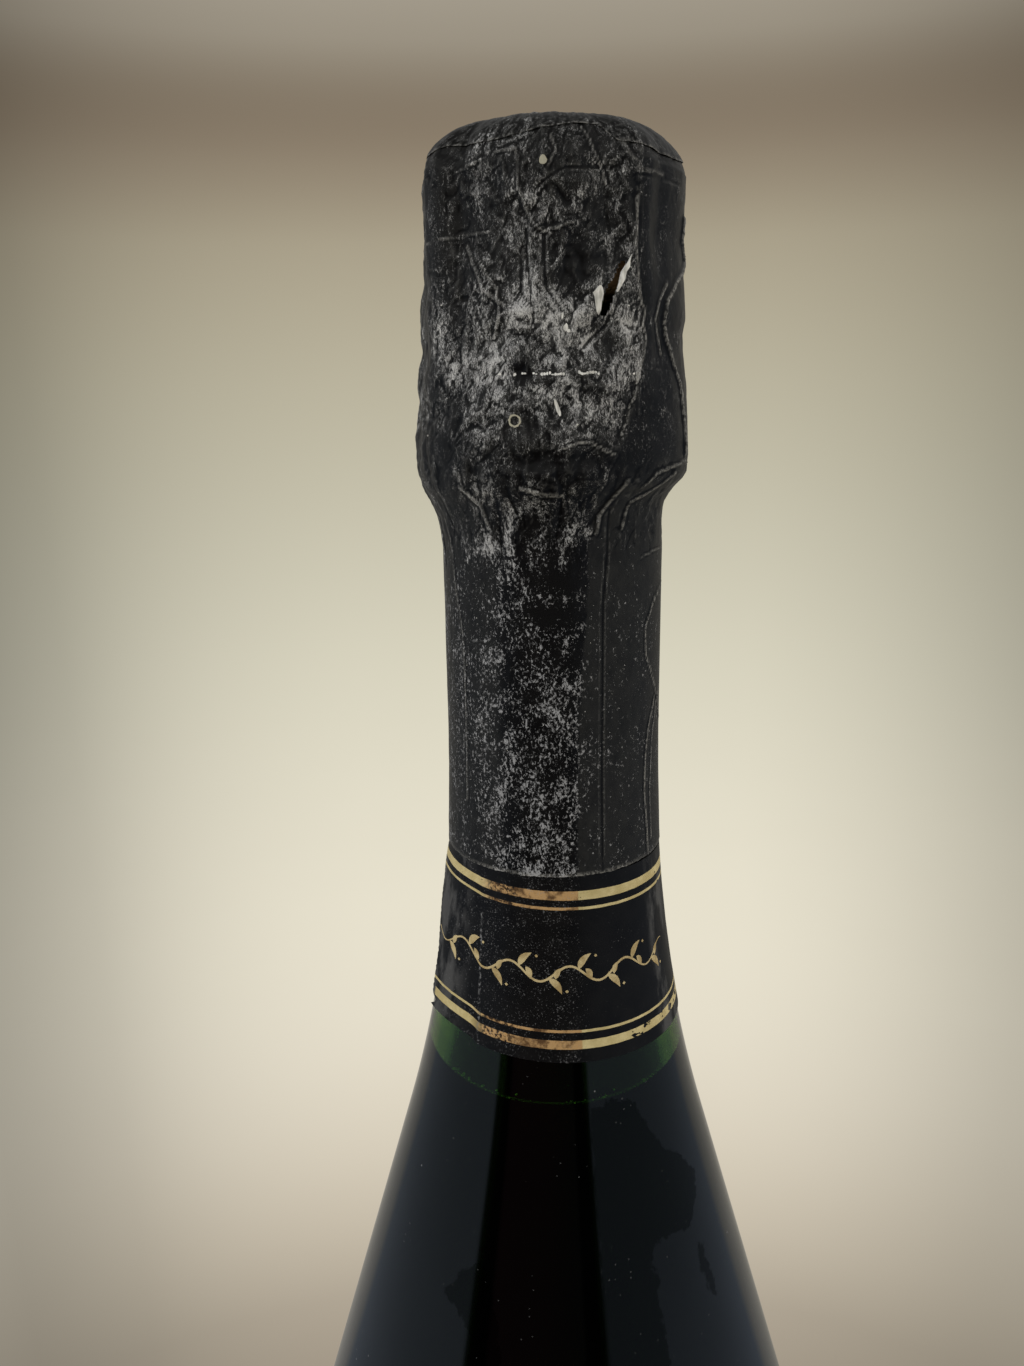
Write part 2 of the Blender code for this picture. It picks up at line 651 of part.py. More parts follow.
def foil_hood(parent, black):
    """The foil above the tear line, and the round piece that closes its crown."""
    foil("foil_hood", hood_rows(), 0, black, parent)
    disc_rows = [crown_row(turn) for turn in FOIL_DISC_RIM_TURNS]
    foil("foil_top_disc", disc_rows, FOIL_THICKNESS + GAP, black, parent, capped=True)


def sheet(name, columns, material, parent):
    """A thin closed sheet from columns of (inner point, outer point) pairs."""
    shape = bmesh.new()
    loops = []
    for column in columns:
        inner = [shape.verts.new(pair[0]) for pair in column]
        outer = [shape.verts.new(pair[1]) for pair in reversed(column)]
        loops.append(inner + outer)
    for loop, following in zip(loops, loops[1:]):
        bridge(shape, loop, following)
    shape.faces.new(loops[0])
    shape.faces.new(reversed(loops[-1]))
    return place_mesh(shape, name, material, parent)


def neck_label(parent, paper):
    """The band round the foot of the neck, with its front end come unstuck.

    Its band follows the glass; the loose flap runs straight on from the band's end and lifts away.
    """
    top_z = FOIL_BOTTOM_Z - NECK_LABEL_DROP
    heights = [mix(top_z - NECK_LABEL_HEIGHT, top_z, share) for share in shares(LABEL_ROWS)]
    columns = []
    for share in shares(LABEL_ROWS):
        along = NECK_FLAP_LENGTH * (1 - share)
        lift = NECK_FLAP_LIFT * (1 - share) ** 2
        column = []
        for height in heights:
            radius = glass_radius(height) + GAP + lift
            column.append([
                leg_point(NECK_LABEL_START, radius + depth, -along, height)
                for depth in (0, PAPER_THICKNESS)
            ])
        columns.append(column)
    for share in shares(round(NECK_LABEL_SWEEP / LABEL_STEP))[1:]:
        angle = NECK_LABEL_START + NECK_LABEL_SWEEP * share
        radii = [glass_radius(height) + GAP for height in heights]
        column = [
            [around(radius + depth, angle, height) for depth in (0, PAPER_THICKNESS)]
            for radius, height in zip(radii, heights)
        ]
        columns.append(column)
    return sheet("neck_label", columns, paper, parent)


def body_label(name, middle_angle, sweep, paper, parent):
    """A label on the straight side of the body."""
    low_z = HEEL_RADIUS + LABEL_MARGIN
    high_z = shoulder_outline(0, 0)[-1][1] - LABEL_MARGIN
    inner = BODY_RADIUS + GAP
    columns = []
    for share in shares(round(sweep / LABEL_STEP)):
        angle = mix(middle_angle - sweep / 2, middle_angle + sweep / 2, share)
        column = [
            [around(inner + depth, angle, height) for depth in (0, PAPER_THICKNESS)]
            for height in (low_z, high_z)
        ]
        columns.append(column)
    return sheet(name, columns, paper, parent)


def group(name, height):
    """The empty that a group of pieces moves with, on the bottle's axis."""
    empty = bpy.data.objects.new(name, None)
    empty.empty_display_size = BODY_RADIUS
    empty.location = (0, 0, height)
    bpy.context.scene.collection.objects.link(empty)
    return empty


def build():
    """Clears the scene and makes every piece of the bottle."""
    for old in list(bpy.data.objects):
        bpy.data.objects.remove(old, do_unlink=True)
    bottle_group = group("bottle_group", 0)
    cork_group = group("cork_group", LIP_Z)
    cage_group = group("cage_group", COLLAR_Z)
    hood_group = group("hood_group", TEAR_Z)
    black = finish("black_foil", (0.035, 0.035, 0.037), 0.45, metallic=0.5)
    paper = finish("black_paper", (0.02, 0.02, 0.02), 0.4)
    glass_bottle(bottle_group)
    wine(bottle_group)
    foil_skirt(bottle_group, black)
    neck_label(bottle_group, paper)
    body_label("front_label", 0, FRONT_LABEL_SWEEP, paper, bottle_group)
    body_label("back_label", math.pi, BACK_LABEL_SWEEP, paper, bottle_group)
    cork(cork_group)
    metal_cap(cage_group)
    wire_hood(cage_group)
    foil_hood(hood_group, black)


build()
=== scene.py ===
"""Looks for the sparkling wine bottle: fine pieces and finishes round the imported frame.

Metres, +Z up, origin at the centre of the base. Angles run round the bottle from the front (-Y) towards +X.
"""
import math

import bpy
import numpy as np
from mathutils import Matrix


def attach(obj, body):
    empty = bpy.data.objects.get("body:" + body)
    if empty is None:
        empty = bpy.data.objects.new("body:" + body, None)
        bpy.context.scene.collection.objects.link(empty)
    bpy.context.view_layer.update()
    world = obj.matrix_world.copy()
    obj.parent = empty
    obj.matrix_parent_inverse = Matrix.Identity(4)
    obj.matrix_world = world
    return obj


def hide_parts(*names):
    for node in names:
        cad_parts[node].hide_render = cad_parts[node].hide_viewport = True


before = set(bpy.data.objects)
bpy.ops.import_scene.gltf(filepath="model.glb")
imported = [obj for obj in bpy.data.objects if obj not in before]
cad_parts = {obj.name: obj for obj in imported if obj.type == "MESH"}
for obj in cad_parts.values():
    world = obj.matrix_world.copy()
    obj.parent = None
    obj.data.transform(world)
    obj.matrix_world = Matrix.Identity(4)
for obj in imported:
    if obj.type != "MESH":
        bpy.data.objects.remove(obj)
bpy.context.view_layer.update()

MM = 0.001
# Rows of the lattices of random values, and the row at height 0
LATTICE_ROWS = 512
LATTICE_START = 128

# Camera: place, turn and lens
CAMERA_PLACE = (0, -0.136, 0.2903)
CAMERA_YAW = math.radians(2.377)
CAMERA_PITCH = math.radians(15.1)
CAMERA_ROLL = math.radians(-0.873)
CAMERA_LENS = 27.04

# Glass
BODY_RADIUS = 0.045
BODY_WALL = 0.0034
HEEL_RADIUS = 0.009
INNER_HEEL_RADIUS = 0.006
BEARING_WIDTH = 0.004
PUNT_DEPTH = 0.034
PUNT_FULLNESS = 1.4
BASE_WALL = 0.0065
SHOULDER_ARC_RADIUS = 0.100
CONE_ANGLE = math.radians(16.0)
SHOULDER_MEAN_RADIUS = 0.030
NECK_ARC_RADIUS = 0.215
NECK_ARC_Z = 0.246
NECK_RADIUS = 0.01405
NECK_WALL = 0.00375
NECK_TOP_RADIUS = 0.0134
NECK_TAPER_Z = 0.2645
MOUTH_RADIUS = 0.0089
MOUTH_DEPTH = 0.028
MOUTH_TAPER_DEPTH = 0.048
LIP_Z = 0.302
LIP_ROUNDING = 0.0016
BEAD_RADIUS = 0.0142
BEAD_HEIGHT = 0.0065
GROOVE_HEIGHT = 0.004
COLLAR_Z = 0.2845
COLLAR_RADIUS = 0.0147
WINE_Z = 0.1984
WINE_BITE = 0.00005
MENISCUS_RISE = 0.0004
MENISCUS_WIDTH = 0.0022
BUBBLE_COUNT = 640
BUBBLE_RADII = (0.00007, 0.00026)
BUBBLE_RISE = 0.00005
BUBBLE_SPREAD = 0.00040

# Cork, cap and wire hood
CORK_RADIUS = 0.0086
CORK_FOOT_Z = 0.275
CORK_DISC_HEIGHT = 0.0057
CORK_GAP = 0.0003
CORK_SOFTNESS = 0.0003
CORK_HEAD_Z = 0.3023
CORK_TOP_Z = 0.319
CORK_HEAD_RADIUS = 0.0146
CAP_GAP = 0.0003
CAP_SEAT_Z = 0.3197
WIRE_RADIUS = 0.00045
WIRE_SIDES = 12
STRAND_OFFSET = 0.0006
CROWN_RADIUS = 0.0102
CROWN_Z = 0.32045
CROWN_FILLET = 0.0013
LEG_RADIUS = 0.0158
LEG_BEND_RADIUS = 0.00615
LEG_BEND_Z = 0.3143
LEG_TWIST_TURNS = 2.5
FIRST_LEG_ANGLE = math.radians(36)
BELT_Z = 0.28375
BELT_HUG_RADIUS = 0.01415
HOOK_RADIUS = 0.0012
HOOK_SWEEP = math.radians(75)
TAIL_ANGLE = math.pi
TAIL_BEND_RADIUS = 0.0012
TAIL_TWIST_LENGTH = 0.008
TAIL_TWIST_TURNS = 1.5
EYE_RADIUS = 0.0022

# Foil: its edges, then the head's corner and crown
FOIL_THICKNESS = 0.0001
FOIL_BOTTOM_Z = 0.2317
TEAR_Z = 0.2941
TEAR_GAP = 0.00001
HEAD_CORNER_Z = 0.3162
HEAD_CORNER_HEIGHT = 0.0054
HEAD_CORNER_FULLNESS = 1.75
HEAD_FLAT_RADIUS = 0.0095
CROWN_DOME = 0.0003
CROWN_HOLE_RADIUS = 0.007
SKIRT_OVER_LABEL = 0.00003
SKIRT_OVER_GLASS = 0.00008
FOIL_OVER_COLLAR = 0.0001
TAUT_RELIEF = 0.0001
FULL_BEND = 0.00004
# How far out the wire legs hold the foil, and half a twisted leg's width with its clearance
LEG_LINE = 0.01704
LEG_REACH = 0.00112
# Heights where the foil passes the label's edge, gathers, climbs the collar and tightens over the wires
OVER_LABEL_Z = 0.2335
GATHER_Z = 0.2715
COLLAR_SLOPE_Z = 0.2740
COLLAR_SLOPE_HEIGHT = 0.0072
HEAD_CREASE_Z = 0.2785
HEAD_FOOT_Z = 0.2790
WIRE_FOOT_Z = 0.2815
GATHER_TOP_Z = 0.2825
TAUT_FOOT_Z = 0.2835
TAIL_BULGE_TOP_Z = 0.2982
# Radii at which widths on the foil are turned to angles, the bend that is drawn sharp, and points round
# each sheet
FOIL_MEAN_RADIUS = 0.0158
FLECK_RADIUS = 0.0159
RING_RADIUS = 0.0169
FOIL_SHARP = math.radians(70)
HOOD_COLUMNS = 408
SKIRT_COLUMNS = 372
DISC_COLUMNS = 324

# Labels
PAPER_THICKNESS = 0.0002
GLUE_THICKNESS = 0.0001
NECK_LABEL_RADIUS = 0.0165
NECK_LABEL_LOW_Z = 0.2064
NECK_LABEL_TOP_Z = 0.2318
NECK_LABEL_HEIGHT = 0.0245
NECK_LABEL_END = math.radians(272)
NECK_LABEL_LIFT = 0.0014
NECK_LABEL_RISE = 0.00085
BODY_LABEL_LOW_Z = 0.017
BODY_LABEL_HIGH_Z = 0.091
# In mm: how far from a body label's edges the neck label's gold lines are repeated, the margin beside its
# vine, and a place along the neck label that has no stain or sheen
LINES_WIDTH = 12
VINE_MARGIN = 6
CLEAN_PLACE = 6.0
# Angles in degrees of the neck label's fold at its foot and top, and (height in mm, angle) of its left end
NECK_LABEL_FOLD = (-36, -40)
NECK_LABEL_START = ((206.4, -68), (215, -70), (222, -76), (228, -80), (233, -82))


def around(radius, angle, height):
    """Points at these radii, angles from the front and heights, as (..., 3)."""
    radius, angle, height = np.broadcast_arrays(radius, angle, height)
    return np.stack([radius * np.sin(angle), -radius * np.cos(angle), height], axis=-1)


def ease(share):
    """A smooth step from 0 to 1."""
    held = np.clip(share, 0, 1)
    return held * held * (3 - 2 * held)


def mix(low, high, share):
    """The value this share of the way from low to high."""
    return low + (high - low) * share


def from_front(angle):
    """The same angle, between half a turn left of the front (-pi) and half a turn right of it (pi)."""
    return (angle + np.pi) % (2 * np.pi) - np.pi


def from_legs(angle):
    """How far each angle is from the nearest of the four wire legs."""
    legs = FIRST_LEG_ANGLE + np.pi / 2 * np.arange(4)
    return np.abs(from_front(angle[..., None] - legs)).min(axis=-1)


def straight_line(table, place):
    """Values of a table of (place, value) pairs, joined by straight lines."""
    places, values = np.array(table, float).T
    return np.interp(place, places, values)


def cells(angle, height, across, cell_height, seed):
    """Corner values and shares inside each cell of a lattice of random values wrapped round the bottle."""
    values = np.random.default_rng(seed).uniform(-1, 1, (LATTICE_ROWS, across))
    x = (angle / (2 * np.pi) % 1) * across
    y = height / cell_height + LATTICE_START
    column = np.floor(x).astype(int)
    row = np.floor(y).astype(int)
    left, right = column % across, (column + 1) % across
    low, high = row % LATTICE_ROWS, (row + 1) % LATTICE_ROWS
    corners = values[low, left], values[low, right], values[high, left], values[high, right]
    return corners, x - column, y - row, (column + row) % 2


def swell(angle, height, across, cell_height, seed):
    """Smooth noise: eased mixing of the random values at the corners of each cell."""
    (a, b, c, d), x, y, _ = cells(angle, height, across, cell_height, seed)
    return mix(mix(a, b, ease(x)), mix(c, d, ease(x)), ease(y))


def facets(angle, height, across, cell_height, seed):
    """Crumpled noise: each cell is two flat triangles between random corner values, with sharp creases.

    The lattice is bent by smooth noise first, so that the creases run at all angles.
    """
    bend = 0.75
    sideways, upwards = (swell(angle, height, across, cell_height * 1.3, seed + step) for step in (1, 2))
    bent_angle = angle + bend * (2 * np.pi / across) * sideways
    bent_height = height + bend * cell_height * upwards
    (a, b, c, d), x, y, odd = cells(bent_angle, bent_height, across, cell_height, seed)
    falling = np.where(x + y < 1, a + (b - a) * x + (c - a) * y, d + (c - d) * (1 - x) + (b - d) * (1 - y))
    rising = np.where(x > y, a + (b - a) * x + (d - b) * y, a + (d - c) * x + (c - a) * y)
    return np.where(odd == 0, falling, rising)


def line_distance(x, y, line_x, line_y):
    """The distance from each place to the nearest part of a line: to each stretch's nearest point in turn."""
    nearest = np.full(np.broadcast(x, y).shape, 1.0)
    for x0, y0, x1, y1 in zip(line_x, line_y, line_x[1:], line_y[1:]):
        length = (x1 - x0) ** 2 + (y1 - y0) ** 2
        share = np.clip(((x - x0) * (x1 - x0) + (y - y0) * (y1 - y0)) / length, 0, 1)
        nearest = np.minimum(nearest, np.hypot(x - x0 - share * (x1 - x0), y - y0 - share * (y1 - y0)))
    return nearest


def wrapped(index):
    """A grid of point numbers with its first column again at the end."""
    return np.concatenate([index, index[:, :1]], axis=1)


def grid_quads(index):
    """Quads between neighbouring rows and columns of a grid of point numbers."""
    return np.stack([index[:-1, :-1], index[:-1, 1:], index[1:, 1:], index[1:, :-1]], axis=-1).reshape(-1, 4)


def walled(quads, count):
    """A thin solid: a sheet's quads, those of its inner copy turned over, and a rim at its open edges."""
    edges = np.concatenate([quads[:, [0, 1]], quads[:, [1, 2]], quads[:, [2, 3]], quads[:, [3, 0]]])
    _, first, number = np.unique(np.sort(edges, axis=1), axis=0, return_index=True, return_counts=True)
    start, end = edges[first[number == 1]].T
    rim = np.stack([end, start, start + count, end + count], axis=1)
    return np.concatenate([quads, quads[:, ::-1] + count, rim])


def fan(ring, point):
    """Triangles from each two neighbours of a ring to one point."""
    return np.stack([ring, np.roll(ring, -1), np.full(len(ring), point)], axis=1)


def closed_rings(index, foot, top):
    """Quads between rings, and fans that close the first ring to the point foot and the last to top."""
    return [grid_quads(wrapped(index)), fan(index[0], foot)[:, [1, 0, 2]], fan(index[-1], top)]


def placed(name, data):
    """A new object with this data, in the scene."""
    made = bpy.data.objects.new(name, data)
    bpy.context.scene.collection.objects.link(made)
    return made


def piece(name, points, faces, body, material, stands_for=(), marks=None, sharp=None):
    """A mesh piece from points (n x 3) and blocks of faces, with named numbers per point for its finish."""
    points = np.asarray(points, dtype=np.float32).reshape(-1, 3)
    corners = np.concatenate([block.ravel() for block in faces]).astype(np.int32)
    sizes = np.concatenate([np.full(len(block), block.shape[1]) for block in faces])
    starts = np.concatenate([[0], np.cumsum(sizes)[:-1]]).astype(np.int32)
    mesh = bpy.data.meshes.new(name)
    mesh.vertices.add(len(points))
    mesh.vertices.foreach_set("co", points.ravel())
    mesh.loops.add(len(corners))
    mesh.loops.foreach_set("vertex_index", corners)
    mesh.polygons.add(len(sizes))
    mesh.polygons.foreach_set("loop_start", starts)
    mesh.update(calc_edges=True)
    mesh.validate()
    mesh.shade_smooth()
    if sharp is not None:
        mesh.set_sharp_from_angle(angle=sharp)
    for mark, values in (marks or {}).items():
        attribute = mesh.attributes.new(mark, "FLOAT", "POINT")
        attribute.data.foreach_set("value", np.asarray(values, np.float32).ravel())
    mesh.materials.append(material)
    made = placed(name, mesh)
    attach(made, body)
    if stands_for:
        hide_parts(*stands_for)
    return made


def both_sides(marks):
    """The marks of a sheet's outer points, again for its inner ones."""
    return {name: np.tile(np.asarray(values).ravel(), 2) for name, values in marks.items()}


def sheet(name, outer, inner, body, material, stands_for, marks, sharp=None, joined=True, stays=None):
    """A thin sheet between two grids of points, closed at its edges.

    A joined sheet meets itself round the bottle. stays says, from the middles of the quads, which of them are
    there.
    """
    points = outer.reshape(-1, 3)
    count = len(points)
    index = np.arange(count).reshape(outer.shape[:2])
    quads = grid_quads(wrapped(index) if joined else index)
    if stays:
        quads = quads[stays(points[quads].mean(axis=1))]
    points = np.concatenate([points, inner.reshape(-1, 3)])
    faces = [walled(quads, count)]
    return piece(name, points, faces, body, material, stands_for, both_sides(marks), sharp)


def divided(profile, longest):
    """A profile whose straight steps are divided until none is longer than this."""
    parts = []
    for start, end in zip(profile, profile[1:]):
        count = max(1, math.ceil(np.hypot(*(end - start)) / longest))
        parts.append(np.linspace(start, end, count + 1)[:-1])
    return np.concatenate(parts + [profile[-1:]])


def turned(name, profile, body, material, stands_for=(), columns=144, longest=None, marker=None):
    """A solid turned about Z: (r sin a, -r cos a, z) for each (r, z) of the profile and each angle a.

    The profile starts and ends on the axis and runs up its outer side, so the faces point outwards. marker
    works out the marks of the points.
    """
    profile = np.array(profile, float)
    if longest:
        profile = divided(profile, longest)
    angles = np.arange(columns) * 2 * np.pi / columns
    rings = around(profile[1:-1, :1], angles[None, :], profile[1:-1, 1:])
    index = np.arange(rings.shape[0] * columns).reshape(rings.shape[0], columns)
    poles = np.array([[0, 0, profile[0, 1]], [0, 0, profile[-1, 1]]])
    points = np.concatenate([rings.reshape(-1, 3), poles])
    faces = closed_rings(index, len(points) - 2, len(points) - 1)
    marks = marker(points) if marker else None
    return piece(name, points, faces, body, material, stands_for, marks, sharp=math.radians(50))


def arc(centre, radius, start, end, count):
    """Points (radius, height) along an arc; angles are measured from +X towards +Z."""
    turns = np.linspace(start, end, count + 1)
    return [(centre[0] + radius * math.cos(turn), centre[1] + radius * math.sin(turn)) for turn in turns]


def shoulder(neck_inset, body_inset):
    """From the foot of the neck down to the top of the body: a hollow arc, a cone and a full arc."""
    neck_radius = NECK_RADIUS - neck_inset
    neck_arc = NECK_ARC_RADIUS + neck_inset
    body_radius = BODY_RADIUS - body_inset
    body_arc = SHOULDER_ARC_RADIUS - body_inset
    upper = arc((neck_radius + neck_arc, NECK_ARC_Z), neck_arc, math.pi, math.pi + CONE_ANGLE, 24)
    cone_width = body_radius - body_arc * (1 - math.cos(CONE_ANGLE)) - upper[-1][0]
    cone_foot_z = upper[-1][1] - cone_width / math.tan(CONE_ANGLE)
    lower_centre = (body_radius - body_arc, cone_foot_z - body_arc * math.sin(CONE_ANGLE))
    return upper + arc(lower_centre, body_arc, CONE_ANGLE, 0, 14)


def punt(foot_radius, foot_z):
    """From the foot of the punt up its bell-shaped side to the axis: z rises as the sine to a power."""
    turns = np.linspace(0, math.pi / 2, 22)[:-1]
    radii = [foot_radius * math.cos(turn) for turn in turns]
    heights = [foot_z + PUNT_DEPTH * math.sin(turn) ** PUNT_FULLNESS for turn in turns]
    return [*zip(radii, heights), (0, foot_z + PUNT_DEPTH)]


def glass_inside(extra=0.0):
    """The inside of the glass from the neck down to the axis, moved into the wall by extra."""
    punt_foot = BODY_RADIUS - HEEL_RADIUS - BEARING_WIDTH / 2
    inset = BODY_WALL - extra
    rounding = INNER_HEEL_RADIUS + extra
    heel = arc((BODY_RADIUS - inset - rounding, BASE_WALL - extra + rounding), rounding, 0, -math.pi / 2, 8)
    return shoulder(NECK_WALL - extra, inset) + heel + punt(punt_foot - extra, BASE_WALL - extra)


def glass_outline():
    """The glass's whole section: down the punt, round the heel, up outside, over the lip and down inside."""
    groove_z = LIP_Z - BEAD_HEIGHT - GROOVE_HEIGHT
    rounding = COLLAR_RADIUS - NECK_TOP_RADIUS
    mouth = [
        *arc((BEAD_RADIUS - LIP_ROUNDING, LIP_Z - LIP_ROUNDING), LIP_ROUNDING, math.pi / 2, 0, 8),
        (BEAD_RADIUS, LIP_Z - BEAD_HEIGHT + 0.0012), (BEAD_RADIUS - 0.0002, LIP_Z - BEAD_HEIGHT + 0.0005),
        (NECK_TOP_RADIUS, LIP_Z - BEAD_HEIGHT),
        (NECK_TOP_RADIUS, groove_z + rounding / 2),
        *arc((COLLAR_RADIUS - rounding / 2, groove_z - rounding / 2), rounding / 2, math.pi / 2, 0, 6),
        *arc((COLLAR_RADIUS - rounding / 2, COLLAR_Z + rounding / 2), rounding / 2, 0, -math.pi / 2, 6),
        (NECK_TOP_RADIUS, COLLAR_Z),
        (NECK_RADIUS, NECK_TAPER_Z),
    ]
    base = [
        *arc((BODY_RADIUS - HEEL_RADIUS, HEEL_RADIUS), HEEL_RADIUS, 0, -math.pi / 2, 12),
        *punt(BODY_RADIUS - HEEL_RADIUS - BEARING_WIDTH, 0),
    ]
    outside = mouth + shoulder(0, 0) + base
    inside = [
        (MOUTH_RADIUS + LIP_ROUNDING / 2, LIP_Z),
        (MOUTH_RADIUS, LIP_Z - LIP_ROUNDING / 2),
        (MOUTH_RADIUS, LIP_Z - MOUTH_DEPTH),
        (NECK_RADIUS - NECK_WALL, LIP_Z - MOUTH_TAPER_DEPTH),
    ] + glass_inside()
    return outside[::-1] + inside


def radius_at(outline, height):
    """The radius of an outline (rising in height) at these heights."""
    radii, heights = np.array(outline, float).T
    order = np.argsort(heights)
    return np.interp(height, heights[order], radii[order])


def glass_radius(height):
    """The glass's outer radius below the collar."""
    outline = [(NECK_TOP_RADIUS, COLLAR_Z), (NECK_RADIUS, NECK_TAPER_Z)] + shoulder(0, 0)
    return radius_at(outline, height)


# Finishes


class Nodes:
    """The node tree of a new material or of a world, with short calls for the nodes that are used here."""

    def __init__(self, name, world=None):
        """Starts with the shader that a new material has, or with a world's output alone."""
        self.material = world or bpy.data.materials.new(name)
        self.material.use_nodes = True
        self.tree = self.material.node_tree
        self.shader = self.tree.nodes.get("Principled BSDF")
        self.output = self.tree.nodes["World Output" if world else "Material Output"]

    def node(self, kind, inputs=None, **settings):
        """One node, with its settings and its inputs linked or set."""
        made = self.tree.nodes.new("ShaderNode" + kind)
        for key, value in settings.items():
            setattr(made, key, value)
        for key, value in (inputs or {}).items():
            self.feed(made.inputs[key], value)
        return made

    def feed(self, socket, value):
        """Links an output to a socket, or sets its value."""
        if isinstance(value, bpy.types.NodeSocket):
            self.tree.links.new(value, socket)
        elif isinstance(value, tuple) and len(value) == 3 and socket.type == "RGBA":
            socket.default_value = (*value, 1)
        else:
            socket.default_value = value

    def math(self, operation, *values):
        """A Math node's result."""
        return self.node("Math", dict(enumerate(values)), operation=operation).outputs[0]

    def times(self, first, second):
        """The product of two values."""
        return self.math("MULTIPLY", first, second)

    def plus(self, first, second):
        """The sum of two values."""
        return self.math("ADD", first, second)

    def minus(self, first, second):
        """The first value less the second."""
        return self.math("SUBTRACT", first, second)

    def larger(self, first, second):
        """The larger of two values."""
        return self.math("MAXIMUM", first, second)

    def place(self, scale=(1, 1, 1), shift=(0, 0, 0)):
        """Object coordinates, scaled and shifted."""
        coordinates = self.node("TexCoord").outputs["Object"]
        return self.node("Mapping", {"Vector": coordinates, "Scale": scale, "Location": shift}).outputs[0]

    def noise(self, scale, detail=3, roughness=0.55, distortion=0, stretch=(1, 1, 1)):
        """Noise from 0 to 1 at the piece's own coordinates, with a factor for its scale along each axis."""
        inputs = {"Vector": self.place(stretch), "Scale": scale, "Detail": detail, "Roughness": roughness}
        return self.node("TexNoise", inputs | {"Distortion": distortion}).outputs[0]

    def grains(self, scale, feature="F1", output="Distance"):
        """Distances or colours of random grains at the piece's own coordinates."""
        made = self.node("TexVoronoi", {"Vector": self.place(), "Scale": scale}, feature=feature)
        return made.outputs[output]

    def span(self, value, low, high, to_low=0, to_high=1, smooth=True):
        """A value's range moved to another, held at its ends."""
        inputs = {"Value": value, "From Min": low, "From Max": high, "To Min": to_low, "To Max": to_high}
        kind = "SMOOTHSTEP" if smooth else "LINEAR"
        return self.node("MapRange", inputs, interpolation_type=kind).outputs[0]

    def blend(self, share, first, second):
        """A mix of two colours or outputs."""
        made = self.node("Mix", data_type="RGBA")
        self.feed(made.inputs[0], share)
        for socket, value in zip(made.inputs[6:8], (first, second)):
            self.feed(socket, (*value, 1) if isinstance(value, tuple) else value)
        return made.outputs[2]

    def ramp(self, share, stops, kind="LINEAR"):
        """A colour ramp with these (place, colour) stops."""
        made = self.node("ValToRGB", {0: share})
        made.color_ramp.interpolation = kind
        points = made.color_ramp.elements
        points[0].position, points[1].position = stops[0][0], stops[-1][0]
        for place, _ in stops[1:-1]:
            points.new(place)
        for point, (_, color) in zip(points, stops):
            point.color = (*color, 1)
        return made.outputs[0]

    def mottle(self, scale, low, high, *tones):
        """A mix of two tones by noise of this scale."""
        return self.blend(self.span(self.noise(scale), low, high), *tones)

    def mark(self, name):
        """A number that the mesh carries at each point."""
        return self.node("Attribute", attribute_name=name, attribute_type="GEOMETRY").outputs["Fac"]

    def bump(self, height, distance, strength=1, under=None):
        """A bump normal."""
        inputs = {"Height": height, "Distance": distance, "Strength": strength}
        if under is not None:
            inputs["Normal"] = under
        return self.node("Bump", inputs).outputs[0]

    def set(self, **values):
        """Sets or links the Principled sockets, named with underscores."""
        for key, value in values.items():
            self.feed(self.shader.inputs[key.replace("_", " ")], value)
        return self.material


def mottled(name, noise, span, tones, bump=None, stretch=(1, 1, 1), **sockets):
    """A finish that runs between two tones by one noise, which also makes its bumps.

    noise is the noise's scale, detail and roughness, span its values at the two tones (None for 0 and 1),
    bump the bumps' height and strength, and stretch the scale along each axis.
    """
    n = Nodes(name)
    value = n.noise(*noise, stretch=stretch)
    if bump:
        sockets["Normal"] = n.bump(value, *bump)
    return n.set(Base_Color=n.blend(n.span(value, *span) if span else value, *tones), **sockets)


